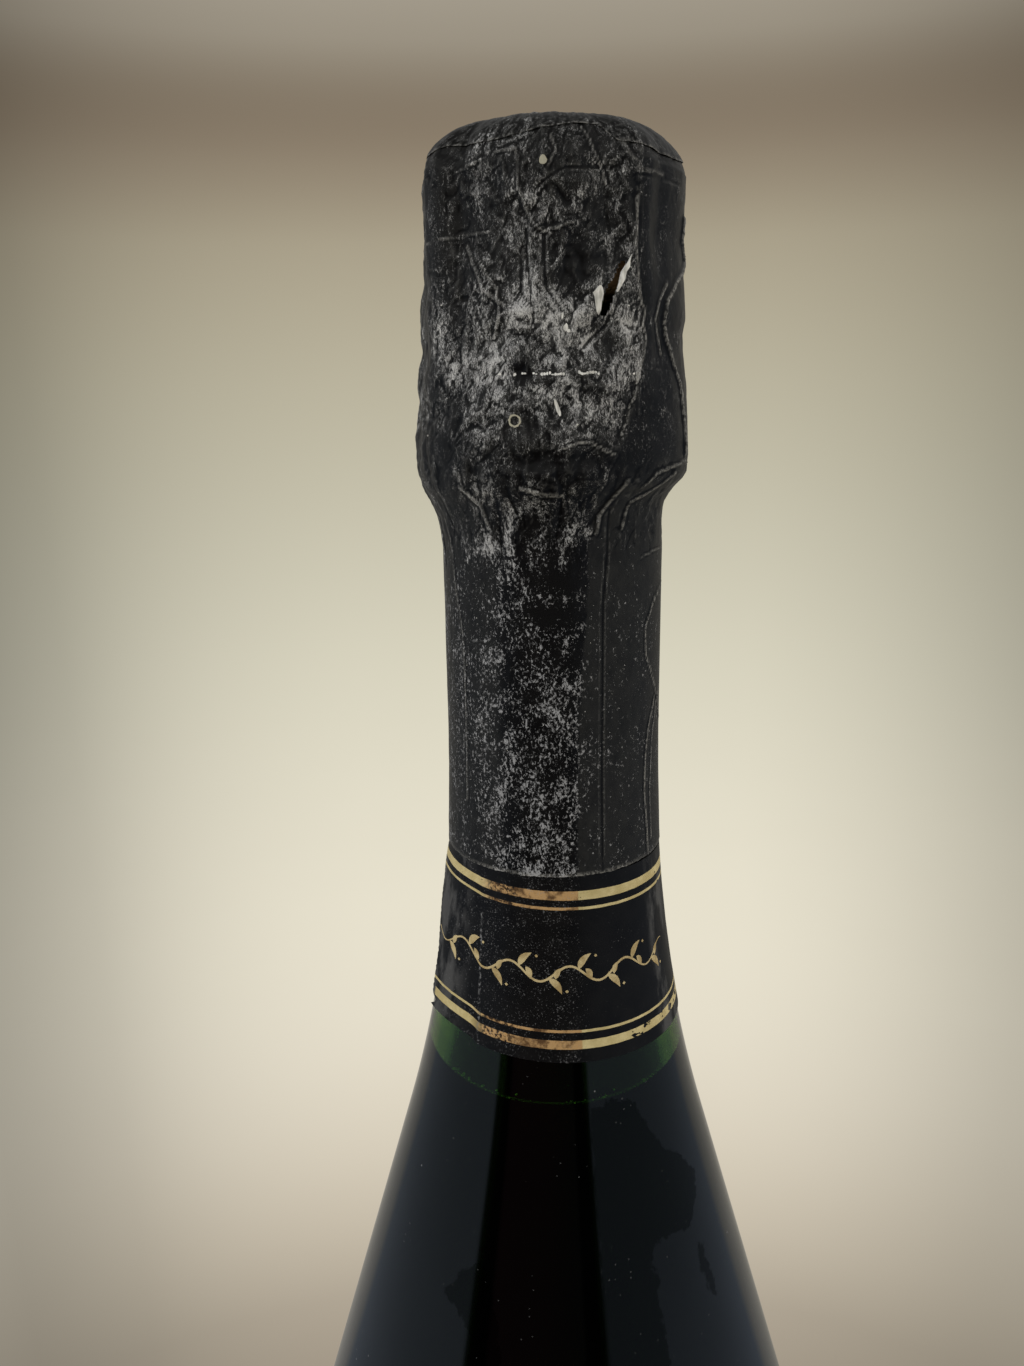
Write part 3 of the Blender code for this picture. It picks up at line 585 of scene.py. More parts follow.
def black_foil():
    """Black lacquered foil: satin, with painted shade that darkens its furrows, hazed and speckled grey where
    it is rubbed.

    The mesh carries the speckle's threshold, how hazed the foil is (with spots of painted sheen), how grey
    (below 0, how black) a fold is, and how sharply the foil bends, from -1 to 1. A grey fold is bare lacquer
    with a painted highlight, a black one painted shade; ridges are lighter by wear and a painted highlight.
    """
    n = Nodes("black_foil")
    limit = n.mark("limit")
    haze_and_sheen = n.mark("haze_and_sheen")
    fold = n.mark("fold")
    bend = n.mark("bend")
    # Fine grain, more scratched up the head: where it rises over the limit the lacquer is rubbed off
    streaked = (1, 1, 0.70)
    up = n.span(n.node("SeparateXYZ", {0: n.place()}).outputs["Z"], 0.262, 0.286)
    grain = n.noise(2900, 6, 0.72, 0.5, stretch=streaked)
    scratch = n.noise(3900, 6, 0.86, 1.4, stretch=(1, 1, 0.42))
    grain = n.plus(grain, n.times(up, n.minus(scratch, grain)))
    clump = n.noise(420, 3, 0.6, stretch=streaked)
    speckle = n.plus(grain, n.times(n.minus(clump, 0.5), 0.26))
    speckle = n.plus(speckle, n.times(bend, 0.026))
    over = n.plus(n.minus(speckle, limit), n.times(up, 0.007))
    rubbed = n.span(over, -0.006, 0.014, smooth=False)
    # How bright the rubbed places are, how hazed the lacquer with its painted sheen, and where the folds are
    # bare and carry a painted highlight
    dust = n.noise(6200, 3, 0.85, stretch=(1, 1, 0.6))
    dusty = n.span(dust, 0.36, 0.62, n.minus(1.0, n.times(up, 0.55)), 1.0)
    bright = n.times(n.span(over, 0.0, 0.085, smooth=False), dusty)
    soft = n.noise(620, 5, 0.7, stretch=streaked)
    fine = n.noise(3300, 3, 0.65, stretch=streaked)
    veil_and_sheen = n.times(haze_and_sheen, n.span(soft, 0.34, 0.62, 0.5, 1.0, smooth=False))
    fold_wear_and_highlight = n.times(n.larger(fold, 0.0), n.span(fine, 0.42, 0.56, 0.1, 1.0))
    # Tones from the lacquer to the metal with a painted highlight on the ridges, then painted shade: the
    # furrows and black folds darkened
    tone = n.mottle(170, 0.35, 0.65, (0.0026, 0.0027, 0.0034), (0.0054, 0.0054, 0.0058))
    tone = n.blend(n.times(veil_and_sheen, 0.55), tone, (0.122, 0.124, 0.116))
    grey = n.blend(bright, (0.100, 0.102, 0.109), n.blend(up, (0.330, 0.338, 0.362), (0.620, 0.625, 0.632)))
    # Ridges lighter: partly rubbed lacquer, partly a painted highlight
    ridge = n.times(n.span(bend, 0.22, 0.80), n.span(fine, 0.40, 0.56, 0.15, 1.0))
    tone = n.blend(n.times(ridge, n.span(haze_and_sheen, 0.05, 0.30, 0.12, 0.38)), tone, (0.150, 0.150, 0.146))
    tone = n.blend(n.times(rubbed, 0.94), tone, grey)
    tone = n.blend(n.times(fold_wear_and_highlight, 0.9), tone, (0.330, 0.325, 0.310))
    # Painted shade in the furrows and along the black folds
    shade = n.larger(n.times(fold, -0.95), n.span(bend, -0.15, -0.70, 0, 0.85))
    return n.set(
        Base_Color=n.blend(shade, tone, (0.0012, 0.0012, 0.0013)),
        Roughness=n.span(n.larger(rubbed, veil_and_sheen), 0, 1, 0.36, 0.74, smooth=False),
        Normal=n.bump(rubbed, 0.00003, 0.5, n.bump(n.noise(800, 4, 0.6), 0.00012, 0.6)),
    )


def label_paper():
    """Semi-gloss black paper with gold lines, chipped, stained and dusty in places, with a painted sheen
    at its sides.

    The mesh carries how far up the label a point is and how far along it from the front, in millimetres, and
    how near it is to the fold.
    """
    n = Nodes("label_paper")
    up = n.mark("up")
    along = n.mark("along")
    fold = n.mark("fold")
    tooth = n.noise(2400, 3)
    wander = n.times(n.minus(n.noise(900, 2), 0.5), 0.10)
    height = n.plus(up, wander)
    # The gold lines, from and to these heights, and chips out of the lowest
    gold = 0.0
    for low, high in ((2.15, 3.32), (4.38, 4.74), (21.08, 21.46), (22.42, 23.64)):
        line = n.times(n.span(height, low - 0.03, low + 0.03), n.span(height, high - 0.03, high + 0.03, 1, 0))
        gold = n.larger(gold, line)
    chip_noise = n.noise(620, 3, 0.6, stretch=(1, 1, 1.4))
    chip_zone = n.times(n.span(along, 8, 11), n.span(height, 3.6, 3.4))
    corner = n.times(n.span(along, -18.7, -19.3), n.span(height, 3.9, 3.7))
    chips = n.span(n.minus(chip_noise, n.span(chip_zone, 0, 1, 0.70, 0.560, smooth=False)), -0.005, 0.01)
    chips = n.larger(chips, corner)
    gold = n.times(gold, n.minus(1, chips))
    # Dust, and the cracked print along the fold
    mottle = n.noise(420, 4, 0.65)
    dusty = n.times(n.span(along, 6, 2), n.span(along, -24, -14))
    speck = n.plus(n.noise(4200, 3, 0.7), n.times(n.minus(mottle, 0.5), 0.30))
    dust = n.span(n.minus(speck, n.span(dusty, 0, 1, 0.70, 0.615, smooth=False)), 0.0, 0.06, smooth=False)
    crack = n.times(n.span(fold, 0.30, 0.9), n.span(tooth, 0.44, 0.60))
    dust = n.larger(n.times(dust, 0.55), crack)
    # Black paper with a painted sheen at both sides, and pale gold that is stained brown left of the front
    # Painted sheen at the left flap and the right edge
    right_sheen = n.times(n.span(along, 15.0, 17), n.span(along, 24, 20))
    sheen_zone = n.larger(n.span(along, -12.0, -16.5), right_sheen)
    painted_sheen = n.times(sheen_zone, n.span(n.noise(260, 4, 0.62, stretch=(1, 1, 0.40)), 0.44, 0.60))
    black = n.mottle(300, 0.3, 0.7, (0.0034, 0.0034, 0.0040), (0.0062, 0.0060, 0.0062))
    black = n.blend(n.times(painted_sheen, 0.9), black, (0.075, 0.075, 0.076))
    pale = n.blend(n.span(mottle, 0.35, 0.7), (0.66, 0.54, 0.255), (0.86, 0.73, 0.39))
    stained = n.blend(n.span(mottle, 0.38, 0.56), (0.15, 0.080, 0.034), (0.64, 0.40, 0.18))
    darker = n.times(n.span(along, -3.5, -6.5), n.span(along, -12, -9.5))
    stained = n.blend(n.times(darker, n.span(tooth, 0.45, 0.58)), stained, (0.060, 0.035, 0.018))
    stain = n.times(n.span(along, 3.55, 3.35), n.span(along, -12.5, -9))
    gilt = n.blend(stain, pale, stained)
    color = n.blend(n.times(dust, 0.9), n.blend(gold, black, gilt), (0.24, 0.245, 0.26))
    normal = n.bump(tooth, 0.00002, 0.5)
    normal = n.bump(gold, 0.00003, 0.5, normal)
    return n.set(
        Base_Color=color,
        Metallic=n.times(n.times(gold, 0.30), n.minus(1, dust)),
        Roughness=n.span(gold, 0, 1, 0.42, 0.36, smooth=False),
        Normal=normal,
    )


def green_glass():
    """Dark green bottle glass, with dust and with a glossy thin film that is wiped off in patches.

    The mesh carries the distance into the wiped patches, in metres; noise roughens their edges.
    """
    n = Nodes("green_glass")
    # The film and its wiped patches, then dust of two grain sizes
    inside = n.mark("wiped")
    ragged = n.minus(n.noise(700, 6, 0.75), 0.5)
    wiped = n.span(n.plus(inside, n.times(ragged, 0.0034)), -0.0001, 0.0001)
    thin = n.span(n.noise(55, 4, 0.6, stretch=(1, 1, 0.6)), 0.3, 0.7, 0.75, 1.0, smooth=False)
    film = n.times(n.minus(1, wiped), thin)
    crumb = n.span(n.grains(330), 0.055, 0.03)
    crumb = n.times(crumb, n.span(n.noise(60, 2), 0.50, 0.54))
    speck = n.span(n.grains(700), 0.085, 0.05)
    speck = n.times(speck, n.span(n.noise(150, 2), 0.50, 0.58))
    dust = n.larger(crumb, n.times(speck, 0.45))
    n.set(
        Base_Color=(0.160, 0.370, 0.055),
        Roughness=0.02,
        Transmission_Weight=1.0,
        IOR=1.52,
        Coat_Weight=film,
        Coat_Roughness=0.05,
        Normal=n.bump(n.noise(60, 2, stretch=(1, 1, 0.4)), 0.0001, 0.08),
    )
    bloom = n.node("BsdfDiffuse", {"Color": (0.34, 0.35, 0.36), "Roughness": 1.0})
    joined = n.node("MixShader", {0: n.times(dust, 0.45), 1: n.shader.outputs[0], 2: bloom.outputs[0]})
    n.tree.links.new(joined.outputs[0], n.output.inputs["Surface"])
    return n.material


def cork_finish(name, light, dark, grain):
    """Cork: bonded grains or natural grain, with pores."""
    n = Nodes(name)
    cell = n.grains(grain, output="Color")
    edge = n.grains(grain, feature="DISTANCE_TO_EDGE")
    tone = n.blend(cell, dark, light)
    pore = n.span(n.noise(700, 4, 0.6, stretch=(1, 1, 0.5)), 0.62, 0.70)
    seam = n.span(edge, 0.05, 0.0)
    depth = n.larger(pore, n.times(seam, 0.6))
    return n.set(
        Base_Color=n.blend(n.times(depth, 0.75), tone, (0.10, 0.05, 0.025)),
        Roughness=0.82,
        Normal=n.bump(n.minus(1, depth), 0.0003, 0.6),
    )


def lacquered_cap():
    """Black lacquer on tinplate, rubbed to bare metal in patches."""
    n = Nodes("lacquered_cap")
    rub = n.span(n.noise(900, 4, 0.65), 0.64, 0.70)
    return n.set(
        Base_Color=n.blend(rub, (0.014, 0.014, 0.015), (0.45, 0.44, 0.42)),
        Metallic=rub,
        Roughness=n.span(n.noise(300, 3), 0.3, 0.7, 0.22, 0.38, smooth=False),
        Normal=n.bump(n.noise(500, 3), 0.00005, 0.3),
    )


def steel_wire():
    """Galvanised steel wire: dull grey with drawn streaks."""
    n = Nodes("steel_wire")
    streak = n.noise(2500, 3, stretch=(1, 1, 0.3))
    return n.set(
        Base_Color=n.blend(streak, (0.34, 0.34, 0.32), (0.58, 0.57, 0.54)),
        Metallic=1.0,
        Roughness=n.span(streak, 0.3, 0.7, 0.28, 0.46, smooth=False),
        Normal=n.bump(streak, 0.00002, 0.4),
    )


GLASS = green_glass()
FOIL = black_foil()
PAPER = label_paper()
LACQUER = lacquered_cap()
STEEL = steel_wire()
GROUND_CORK = cork_finish("ground_cork", (0.55, 0.37, 0.21), (0.34, 0.20, 0.10), 520)
WHOLE_CORK = cork_finish("whole_cork", (0.60, 0.43, 0.26), (0.47, 0.31, 0.17), 240)
# Dark red wine, clear, nearly black in the depth of the body
WINE = mottled(
    "dark_wine", (40, 2), (0.3, 0.7), ((0.016, 0.0014, 0.0018), (0.022, 0.0018, 0.002)),
    Roughness=0.03, Transmission_Weight=1.0, IOR=1.34,
)
# Bubbles of the wine against the glass
FROTH = mottled(
    "froth", (900, 2), None, ((0.80, 0.88, 0.76), (0.93, 0.96, 0.90)),
    Roughness=0.15, Transmission_Weight=0.20, IOR=1.2,
)
# Torn white lining of the foil: matt, with short fibres
FIBRE = mottled(
    "white_fibre", (2600, 3), (0.3, 0.7), ((0.42, 0.42, 0.40), (0.78, 0.78, 0.76)), (0.00005, 0.6),
    stretch=(1, 1, 0.3), Roughness=0.85,
)
# Dried pale drips: cream, a little glossy
CREAM = mottled(
    "cream_spot", (1800, 2), None, ((0.30, 0.29, 0.23), (0.50, 0.48, 0.38)), (0.00003, 0.4), Roughness=0.5,
)
# Gold print on the labels: pale gold, browner where it is stained
GILT = mottled(
    "gilt_print", (420, 4, 0.65), (0.38, 0.60), ((0.50, 0.37, 0.17), (0.76, 0.62, 0.34)), (0.00002, 0.4),
    Metallic=0.30, Roughness=0.38,
)


# Glass, wine, cork and cap

# Patches where the film on the glass is wiped off, as (angle in degrees, height in mm)
WIPED_PATCHES = (
    ((14.3, 199.6), (20, 199.6), (22.9, 200.4), (34.7, 199.2), (34.7, 197.8), (38.3, 195.6), (41.5, 193),
     (44.5, 191.2), (52.6, 188.6), (56.5, 186.1), (60.3, 184.3), (57.4, 183.2), (57.8, 181.8), (54, 180.6),
     (49.9, 178.6), (44.1, 179.4), (37.3, 179.8), (33.5, 179.7), (31.7, 178.5), (30.5, 177.1),
     (33.9, 175.9), (32.7, 174.7), (31.7, 173.7), (32.1, 170.9), (32.7, 168.8), (32.4, 166.9), (32.7, 164),
     (30, 152), (24, 143), (10, 150), (14.4, 180.2), (14.2, 189.7)),
    ((51.8, 176), (54.7, 175.2), (53.9, 172.8), (55.3, 170.5), (55.6, 168.2), (57.4, 167.1), (54.6, 167.3),
     (52.2, 168.5), (51.8, 170.8), (50.1, 173.5)),
    ((-24.2, 179.2), (-26.7, 177.3), (-30.2, 176.5), (-31.4, 175.2), (-32.8, 174.6), (-33, 173.7),
     (-35.5, 172.8), (-34.4, 171.8), (-31, 171.7), (-30, 170.4), (-26.7, 169.8), (-24.9, 168.6),
     (-23.9, 165.3), (-20, 158), (-12, 160), (-18, 173)),
    ((110, 120), (118, 128), (126, 149), (131, 165), (140, 171), (147, 160), (150, 141), (158, 127),
     (150, 112), (137, 108), (124, 110)),
    ((-168, 185), (-150, 190), (-139, 178), (-141, 160), (-152, 149), (-166, 152), (-173, 168)),
    ((-112, 132), (-101, 139), (-92, 128), (-95, 110), (-106, 104), (-116, 112)),
)


def patch_depth(angle, height, outline):
    """How far a place on the glass lies inside an outline, in metres, and below 0 outside it.

    On the glass unrolled at the shoulder's mean radius, it is the distance to the outline's nearest edge. A
    place is inside if a ray from it crosses an odd number of edges.
    """
    line = np.array(outline, float)
    line = np.concatenate([line, line[:1]])
    middle = line[:-1, 0].mean()
    turn = (np.degrees(angle) - middle + 180) % 360 - 180
    x, y = np.radians(turn) * SHOULDER_MEAN_RADIUS, height
    corner_x, corner_y = np.radians(line[:, 0] - middle) * SHOULDER_MEAN_RADIUS, line[:, 1] * MM
    inside = np.zeros(x.shape, bool)
    for x0, y0, x1, y1 in zip(corner_x, corner_y, corner_x[1:], corner_y[1:]):
        at = x0 + (y - y0) / np.where(y1 == y0, 1e-12, y1 - y0) * (x1 - x0)
        inside ^= ((y0 > y) != (y1 > y)) & (x < at)
    nearest = line_distance(x, y, corner_x, corner_y)
    return np.where(inside, nearest, -nearest)


def wiped_depth(points):
    """The deepest wiped patch at each point of the glass, in metres; the inside of the glass has none."""
    angle = np.arctan2(points[:, 0], -points[:, 1])
    depth = np.full(len(points), -0.01)
    for outline in WIPED_PATCHES:
        depth = np.maximum(depth, patch_depth(angle, points[:, 2], outline))
    return np.clip(depth, -0.01, 0.01)


def wine_outline():
    """The wine: up the inside of the glass, with a meniscus that climbs it, and flat on top."""
    inside = np.array(glass_inside(WINE_BITE))
    top_z = WINE_Z + MENISCUS_RISE
    rim_radius = float(radius_at(inside, top_z))
    side = [tuple(point) for point in inside[::-1] if point[1] < top_z]
    shares = np.linspace(0, 1, 9)
    curve = zip(rim_radius - MENISCUS_WIDTH * shares, WINE_Z + MENISCUS_RISE * (1 - shares) ** 2.5)
    return [*side, *curve, (0, WINE_Z)]


def cork_outline():
    """The cork above its two discs: the shank in the mouth and the head that swells over the lip."""
    foot_z = CORK_FOOT_Z + 2 * CORK_DISC_HEIGHT + CORK_GAP
    shares = np.array([0, 0.012, 0.03, 0.08, 0.15, 0.25, 0.4, 0.55, 0.7, 0.82, 0.9, 0.96, 1.0])
    widths = np.array([0.64, 0.78, 0.86, 0.93, 0.965, 0.985, 1.0, 1.0, 0.985, 0.955, 0.915, 0.86, 0.77])
    head = zip(CORK_HEAD_RADIUS * widths, mix(CORK_HEAD_Z, CORK_TOP_Z, shares))
    soft = CORK_SOFTNESS
    foot = [(0, foot_z), (CORK_RADIUS - soft, foot_z), (CORK_RADIUS, foot_z + soft)]
    return [*foot, (CORK_RADIUS, CORK_HEAD_Z), *head, (0, CORK_TOP_Z)]


def disc_outline(foot_z):
    """One cork disc with slightly rounded edges."""
    soft = CORK_SOFTNESS
    top_z = foot_z + CORK_DISC_HEIGHT
    return [
        (0, foot_z), (CORK_RADIUS - soft, foot_z), (CORK_RADIUS, foot_z + soft),
        (CORK_RADIUS, top_z - soft), (CORK_RADIUS - soft, top_z), (0, top_z),
    ]


def cap_outline():
    """The pressed cap: from the axis out under its rim and back over the raised middle."""
    under_z = CORK_TOP_Z + CAP_GAP
    rise = 0.0009
    under = (
        (0, rise), (0.0080, rise), (0.0084, rise * 0.7), (0.0088, 0), (0.0112, 0), (0.0121, -0.0003),
        (0.0129, -0.0010), (0.0132, -0.0014), (0.0136, -0.0014), (0.0135, -0.0009),
    )
    over = (
        (0.0126, -0.0004), (0.0116, 0), (0.0090, 0), (0.0087, rise * 0.6), (0.0083, rise), (0.0070, rise),
        (0.0067, rise - 0.00015), (0.0064, rise), (0, rise),
    )
    lower = [(radius, under_z + up) for radius, up in under]
    return lower + [(radius, CAP_SEAT_Z + up) for radius, up in over]


def bubble_ring():
    """Small bubbles along the wine's edge: spheres at random angles and sizes, packed against the glass."""
    rng = np.random.default_rng(7)
    angles = rng.uniform(0, 2 * np.pi, BUBBLE_COUNT)
    radii = rng.uniform(*BUBBLE_RADII, BUBBLE_COUNT) * mix(0.45, 1.0, np.abs(np.sin(angles)))
    heights = WINE_Z + rng.normal(BUBBLE_RISE, BUBBLE_SPREAD, BUBBLE_COUNT)
    wall = radius_at(glass_inside(), heights)
    centres = around(wall - radii * 0.9, angles, heights)
    lat = np.linspace(-np.pi / 2, np.pi / 2, 6)[1:-1]
    lon = np.arange(8) * np.pi / 4
    ring = np.stack(np.broadcast_arrays(
        np.cos(lat)[:, None] * np.cos(lon), np.cos(lat)[:, None] * np.sin(lon), np.sin(lat)[:, None],
    ), axis=-1).reshape(-1, 3)
    ball = np.concatenate([ring, [[0, 0, -1], [0, 0, 1]]])
    points = centres[:, None, :] + radii[:, None, None] * ball[None]
    steps = (np.arange(BUBBLE_COUNT) * len(ball))[:, None, None]
    blocks = closed_rings(np.arange(len(ring)).reshape(len(lat), len(lon)), len(ring), len(ring) + 1)
    faces = [(block[None] + steps).reshape(-1, block.shape[1]) for block in blocks]
    return piece("bubble_ring", points, faces, "bottle", FROTH)


turned(
    "glass", glass_outline(), "bottle", GLASS, ["glass_bottle"], columns=288, longest=0.0012,
    marker=lambda points: {"wiped": wiped_depth(points)},
)
turned("red_wine", wine_outline(), "bottle", WINE, ["wine"], columns=144)
bubble_ring()
turned("cork_with_head", cork_outline(), "cork", GROUND_CORK, ["cork_body"], columns=96)
for position, disc_z in (("lower", CORK_FOOT_Z), ("upper", CORK_FOOT_Z + CORK_DISC_HEIGHT + CORK_GAP)):
    turned(
        f"{position}_disc", disc_outline(disc_z), "cork", WHOLE_CORK,
        [f"cork_disc_{position}"], columns=96,
    )
turned("pressed_cap", cap_outline(), "cage", LACQUER, ["metal_cap"], columns=96)


# Wire hood


def beside(angle, radius, sideways, height):
    """Points beside a leg: radius along the leg's own direction, and how far they lie sideways."""
    radius, sideways, height = np.broadcast_arrays(radius, sideways, height)
    x = radius * math.sin(angle) + sideways * math.cos(angle)
    y = -radius * math.cos(angle) + sideways * math.sin(angle)
    return np.stack([x, y, height], axis=-1)


def strand(angle, radius, side, low_z, high_z, turns):
    """One strand of a twisted pair from its top down: a helix about the leg's line."""
    share = np.linspace(0, 1, round(turns * 16) + 1)
    phase = 2 * np.pi * turns * share
    offset = STRAND_OFFSET * side
    return beside(angle, radius + offset * np.sin(phase), offset * np.cos(phase), mix(high_z, low_z, share))


def half_frame(angle, side):
    """From the crown down one leg to its foot: fillet, bend, twisted strand and hook."""
    start_angle = (STRAND_OFFSET + CROWN_FILLET) / CROWN_RADIUS
    share = np.linspace(0, 1, 7)
    near, middle, far = (1 - share) ** 2, 2 * share * (1 - share), share**2
    radius = near * CROWN_RADIUS * math.cos(start_angle) + middle * CROWN_RADIUS
    radius = radius + far * (CROWN_RADIUS + CROWN_FILLET)
    sideways = near * CROWN_RADIUS * math.sin(start_angle) + (middle + far) * STRAND_OFFSET
    out = np.maximum(0, radius - CROWN_RADIUS)
    fillet = beside(angle, radius, side * sideways, LEG_BEND_Z + np.sqrt(LEG_BEND_RADIUS**2 - out**2))
    turns = np.linspace(math.acos(CROWN_FILLET / LEG_BEND_RADIUS), 0, 12)[1:-1]
    bend_radius = CROWN_RADIUS + LEG_BEND_RADIUS * np.cos(turns)
    bend = beside(angle, bend_radius, side * STRAND_OFFSET, LEG_BEND_Z + LEG_BEND_RADIUS * np.sin(turns))
    leg = strand(angle, LEG_RADIUS, side, BELT_Z, LEG_BEND_Z, LEG_TWIST_TURNS)
    foot = side * math.cos(2 * math.pi * LEG_TWIST_TURNS) * STRAND_OFFSET
    turns = -np.linspace(0, HOOK_SWEEP, 7)[1:]
    hook_radius = LEG_RADIUS - HOOK_RADIUS + HOOK_RADIUS * np.cos(turns)
    hook = beside(angle, hook_radius, foot, BELT_Z + HOOK_RADIUS * np.sin(turns))
    return np.concatenate([fillet, bend, leg, hook])


def frame_wire_line(first_leg, second_leg):
    """One frame wire: up a leg, a quarter of the crown ring, and down the next leg."""
    margin = (STRAND_OFFSET + CROWN_FILLET) / CROWN_RADIUS
    turns = np.linspace(first_leg + margin, second_leg - margin, 18)[1:-1]
    crown = around(CROWN_RADIUS, turns, CROWN_Z)
    return np.concatenate([half_frame(first_leg, 1)[::-1], crown, half_frame(second_leg, -1)])


def belt_line():
    """The belt round the neck, its ends twisted together into a tail with an eye at the top."""
    margin = (STRAND_OFFSET + TAIL_BEND_RADIUS) / BELT_HUG_RADIUS
    turns = np.linspace(TAIL_ANGLE + margin, TAIL_ANGLE + 2 * np.pi - margin, 121)
    apart = from_legs(turns)
    hook_half_width = (STRAND_OFFSET + WIRE_RADIUS) / LEG_RADIUS
    reach = 1 - ease((apart - 1.5 * hook_half_width) / (5 * hook_half_width))
    loop = around(mix(BELT_HUG_RADIUS, LEG_RADIUS - HOOK_RADIUS, reach), turns, BELT_Z)
    low_z = BELT_Z + TAIL_BEND_RADIUS
    tail_radius = COLLAR_RADIUS + 0.0003 + STRAND_OFFSET + WIRE_RADIUS

    def end(side):
        """One end of the belt: out from its loop, up a quarter turn and along the twisted tail."""
        inner_radius = BELT_HUG_RADIUS + 0.33 * TAIL_BEND_RADIUS
        inner = beside(TAIL_ANGLE, inner_radius, side * 1.4 * STRAND_OFFSET, BELT_Z)
        turns = np.linspace(-np.pi / 2, 0, 7)
        rise_radius = tail_radius - TAIL_BEND_RADIUS + TAIL_BEND_RADIUS * np.cos(turns)
        rise_z = low_z + TAIL_BEND_RADIUS * np.sin(turns)
        rise = beside(TAIL_ANGLE, rise_radius, side * STRAND_OFFSET, rise_z)
        climb = strand(TAIL_ANGLE, tail_radius, side, low_z + TAIL_TWIST_LENGTH, low_z, TAIL_TWIST_TURNS)
        return np.concatenate([inner[None], rise, climb[1:]])

    eye_start = math.asin(STRAND_OFFSET / EYE_RADIUS)
    eye_z = low_z + TAIL_TWIST_LENGTH + EYE_RADIUS * math.cos(eye_start)
    swap = math.cos(2 * math.pi * TAIL_TWIST_TURNS)
    eye_turns = np.linspace(eye_start, 2 * np.pi - eye_start, 26)[1:-1]
    eye_height = eye_z - EYE_RADIUS * np.cos(eye_turns)
    eye = beside(TAIL_ANGLE, tail_radius, -swap * EYE_RADIUS * np.sin(eye_turns), eye_height)
    return np.concatenate([end(1)[::-1], loop, end(-1), eye])


def wire(line, node, closed=False):
    """A round wire in a node's place: a circle carried along a line in a frame that doesn't twist.

    A closed wire's frame is turned back a little at each point, so that its end meets its start. An open wire
    ends in blunt points.
    """
    line = np.asarray(line, float)
    ahead = np.roll(line, -1, axis=0) - np.roll(line, 1, axis=0)
    if not closed:
        ahead[0], ahead[-1] = line[1] - line[0], line[-1] - line[-2]
    ahead /= np.linalg.norm(ahead, axis=1, keepdims=True)
    side = np.cross(ahead[0], (0.3, 0.2, 1))
    sides_along = []
    for direction in ahead:
        side = side - direction * (side @ direction)
        side = side / np.linalg.norm(side)
        sides_along.append(side)
    across = np.array(sides_along)
    up = np.cross(ahead, across)
    if closed:
        carried = sides_along[-1] - ahead[0] * (sides_along[-1] @ ahead[0])
        twist = math.atan2(carried @ up[0], carried @ across[0])
        back = -twist * np.linspace(0, 1, len(line))[:, None]
        across, up = across * np.cos(back) + up * np.sin(back), up * np.cos(back) - across * np.sin(back)
    turns = np.arange(WIRE_SIDES) * 2 * np.pi / WIRE_SIDES
    rings = line[:, None] + WIRE_RADIUS * (
        across[:, None] * np.cos(turns)[None, :, None] + up[:, None] * np.sin(turns)[None, :, None]
    )
    index = np.arange(len(line) * WIRE_SIDES).reshape(len(line), WIRE_SIDES)
    if closed:
        points, faces = rings, [grid_quads(wrapped(np.concatenate([index, index[:1]])))]
    else:
        tips = np.array([line[0] - ahead[0] * WIRE_RADIUS * 0.5, line[-1] + ahead[-1] * WIRE_RADIUS * 0.5])
        points = np.concatenate([rings.reshape(-1, 3), tips])
        faces = closed_rings(index, len(points) - 2, len(points) - 1)
    return piece(f"fine_{node}", points, faces, "cage", STEEL, [node])


for number in range(4):
    leg = FIRST_LEG_ANGLE + number * math.pi / 2
    wire(frame_wire_line(leg, leg + math.pi / 2), f"frame_wire_{number + 1}")
wire(belt_line(), "belt_wire", closed=True)


# Foil: (height in mm, radius in mm) seen at the left and right edges of the photograph

LEFT_EDGE = (
    (231.0, 15.00), (241.5, 14.62), (248.0, 14.50), (268.8, 14.45), (272.8, 14.46), (274.8, 14.70),
    (276.7, 15.15), (278.7, 15.9), (280.7, 17.0), (282.6, 17.36), (286.3, 17.45), (290.0, 16.95),
    (293.6, 16.56), (297.2, 16.2), (300.8, 16.2), (304.3, 15.75), (309.4, 15.32), (314.5, 15.30),
    (316.2, 15.28),
)
RIGHT_EDGE = (
    (231.0, 14.95), (241.5, 14.55), (248.0, 14.42), (268.8, 14.36), (276.4, 14.36), (278.3, 14.50),
    (279.4, 15.0), (280.2, 15.6), (281.2, 16.6), (282.1, 17.1), (284.0, 17.35), (285.8, 17.29),
    (289.5, 17.06), (293.1, 16.83), (296.7, 16.3), (298.4, 16.2), (300.2, 16.5), (303.7, 16.3),
    (308.8, 15.9), (313.8, 16.1), (316.2, 16.1),
)
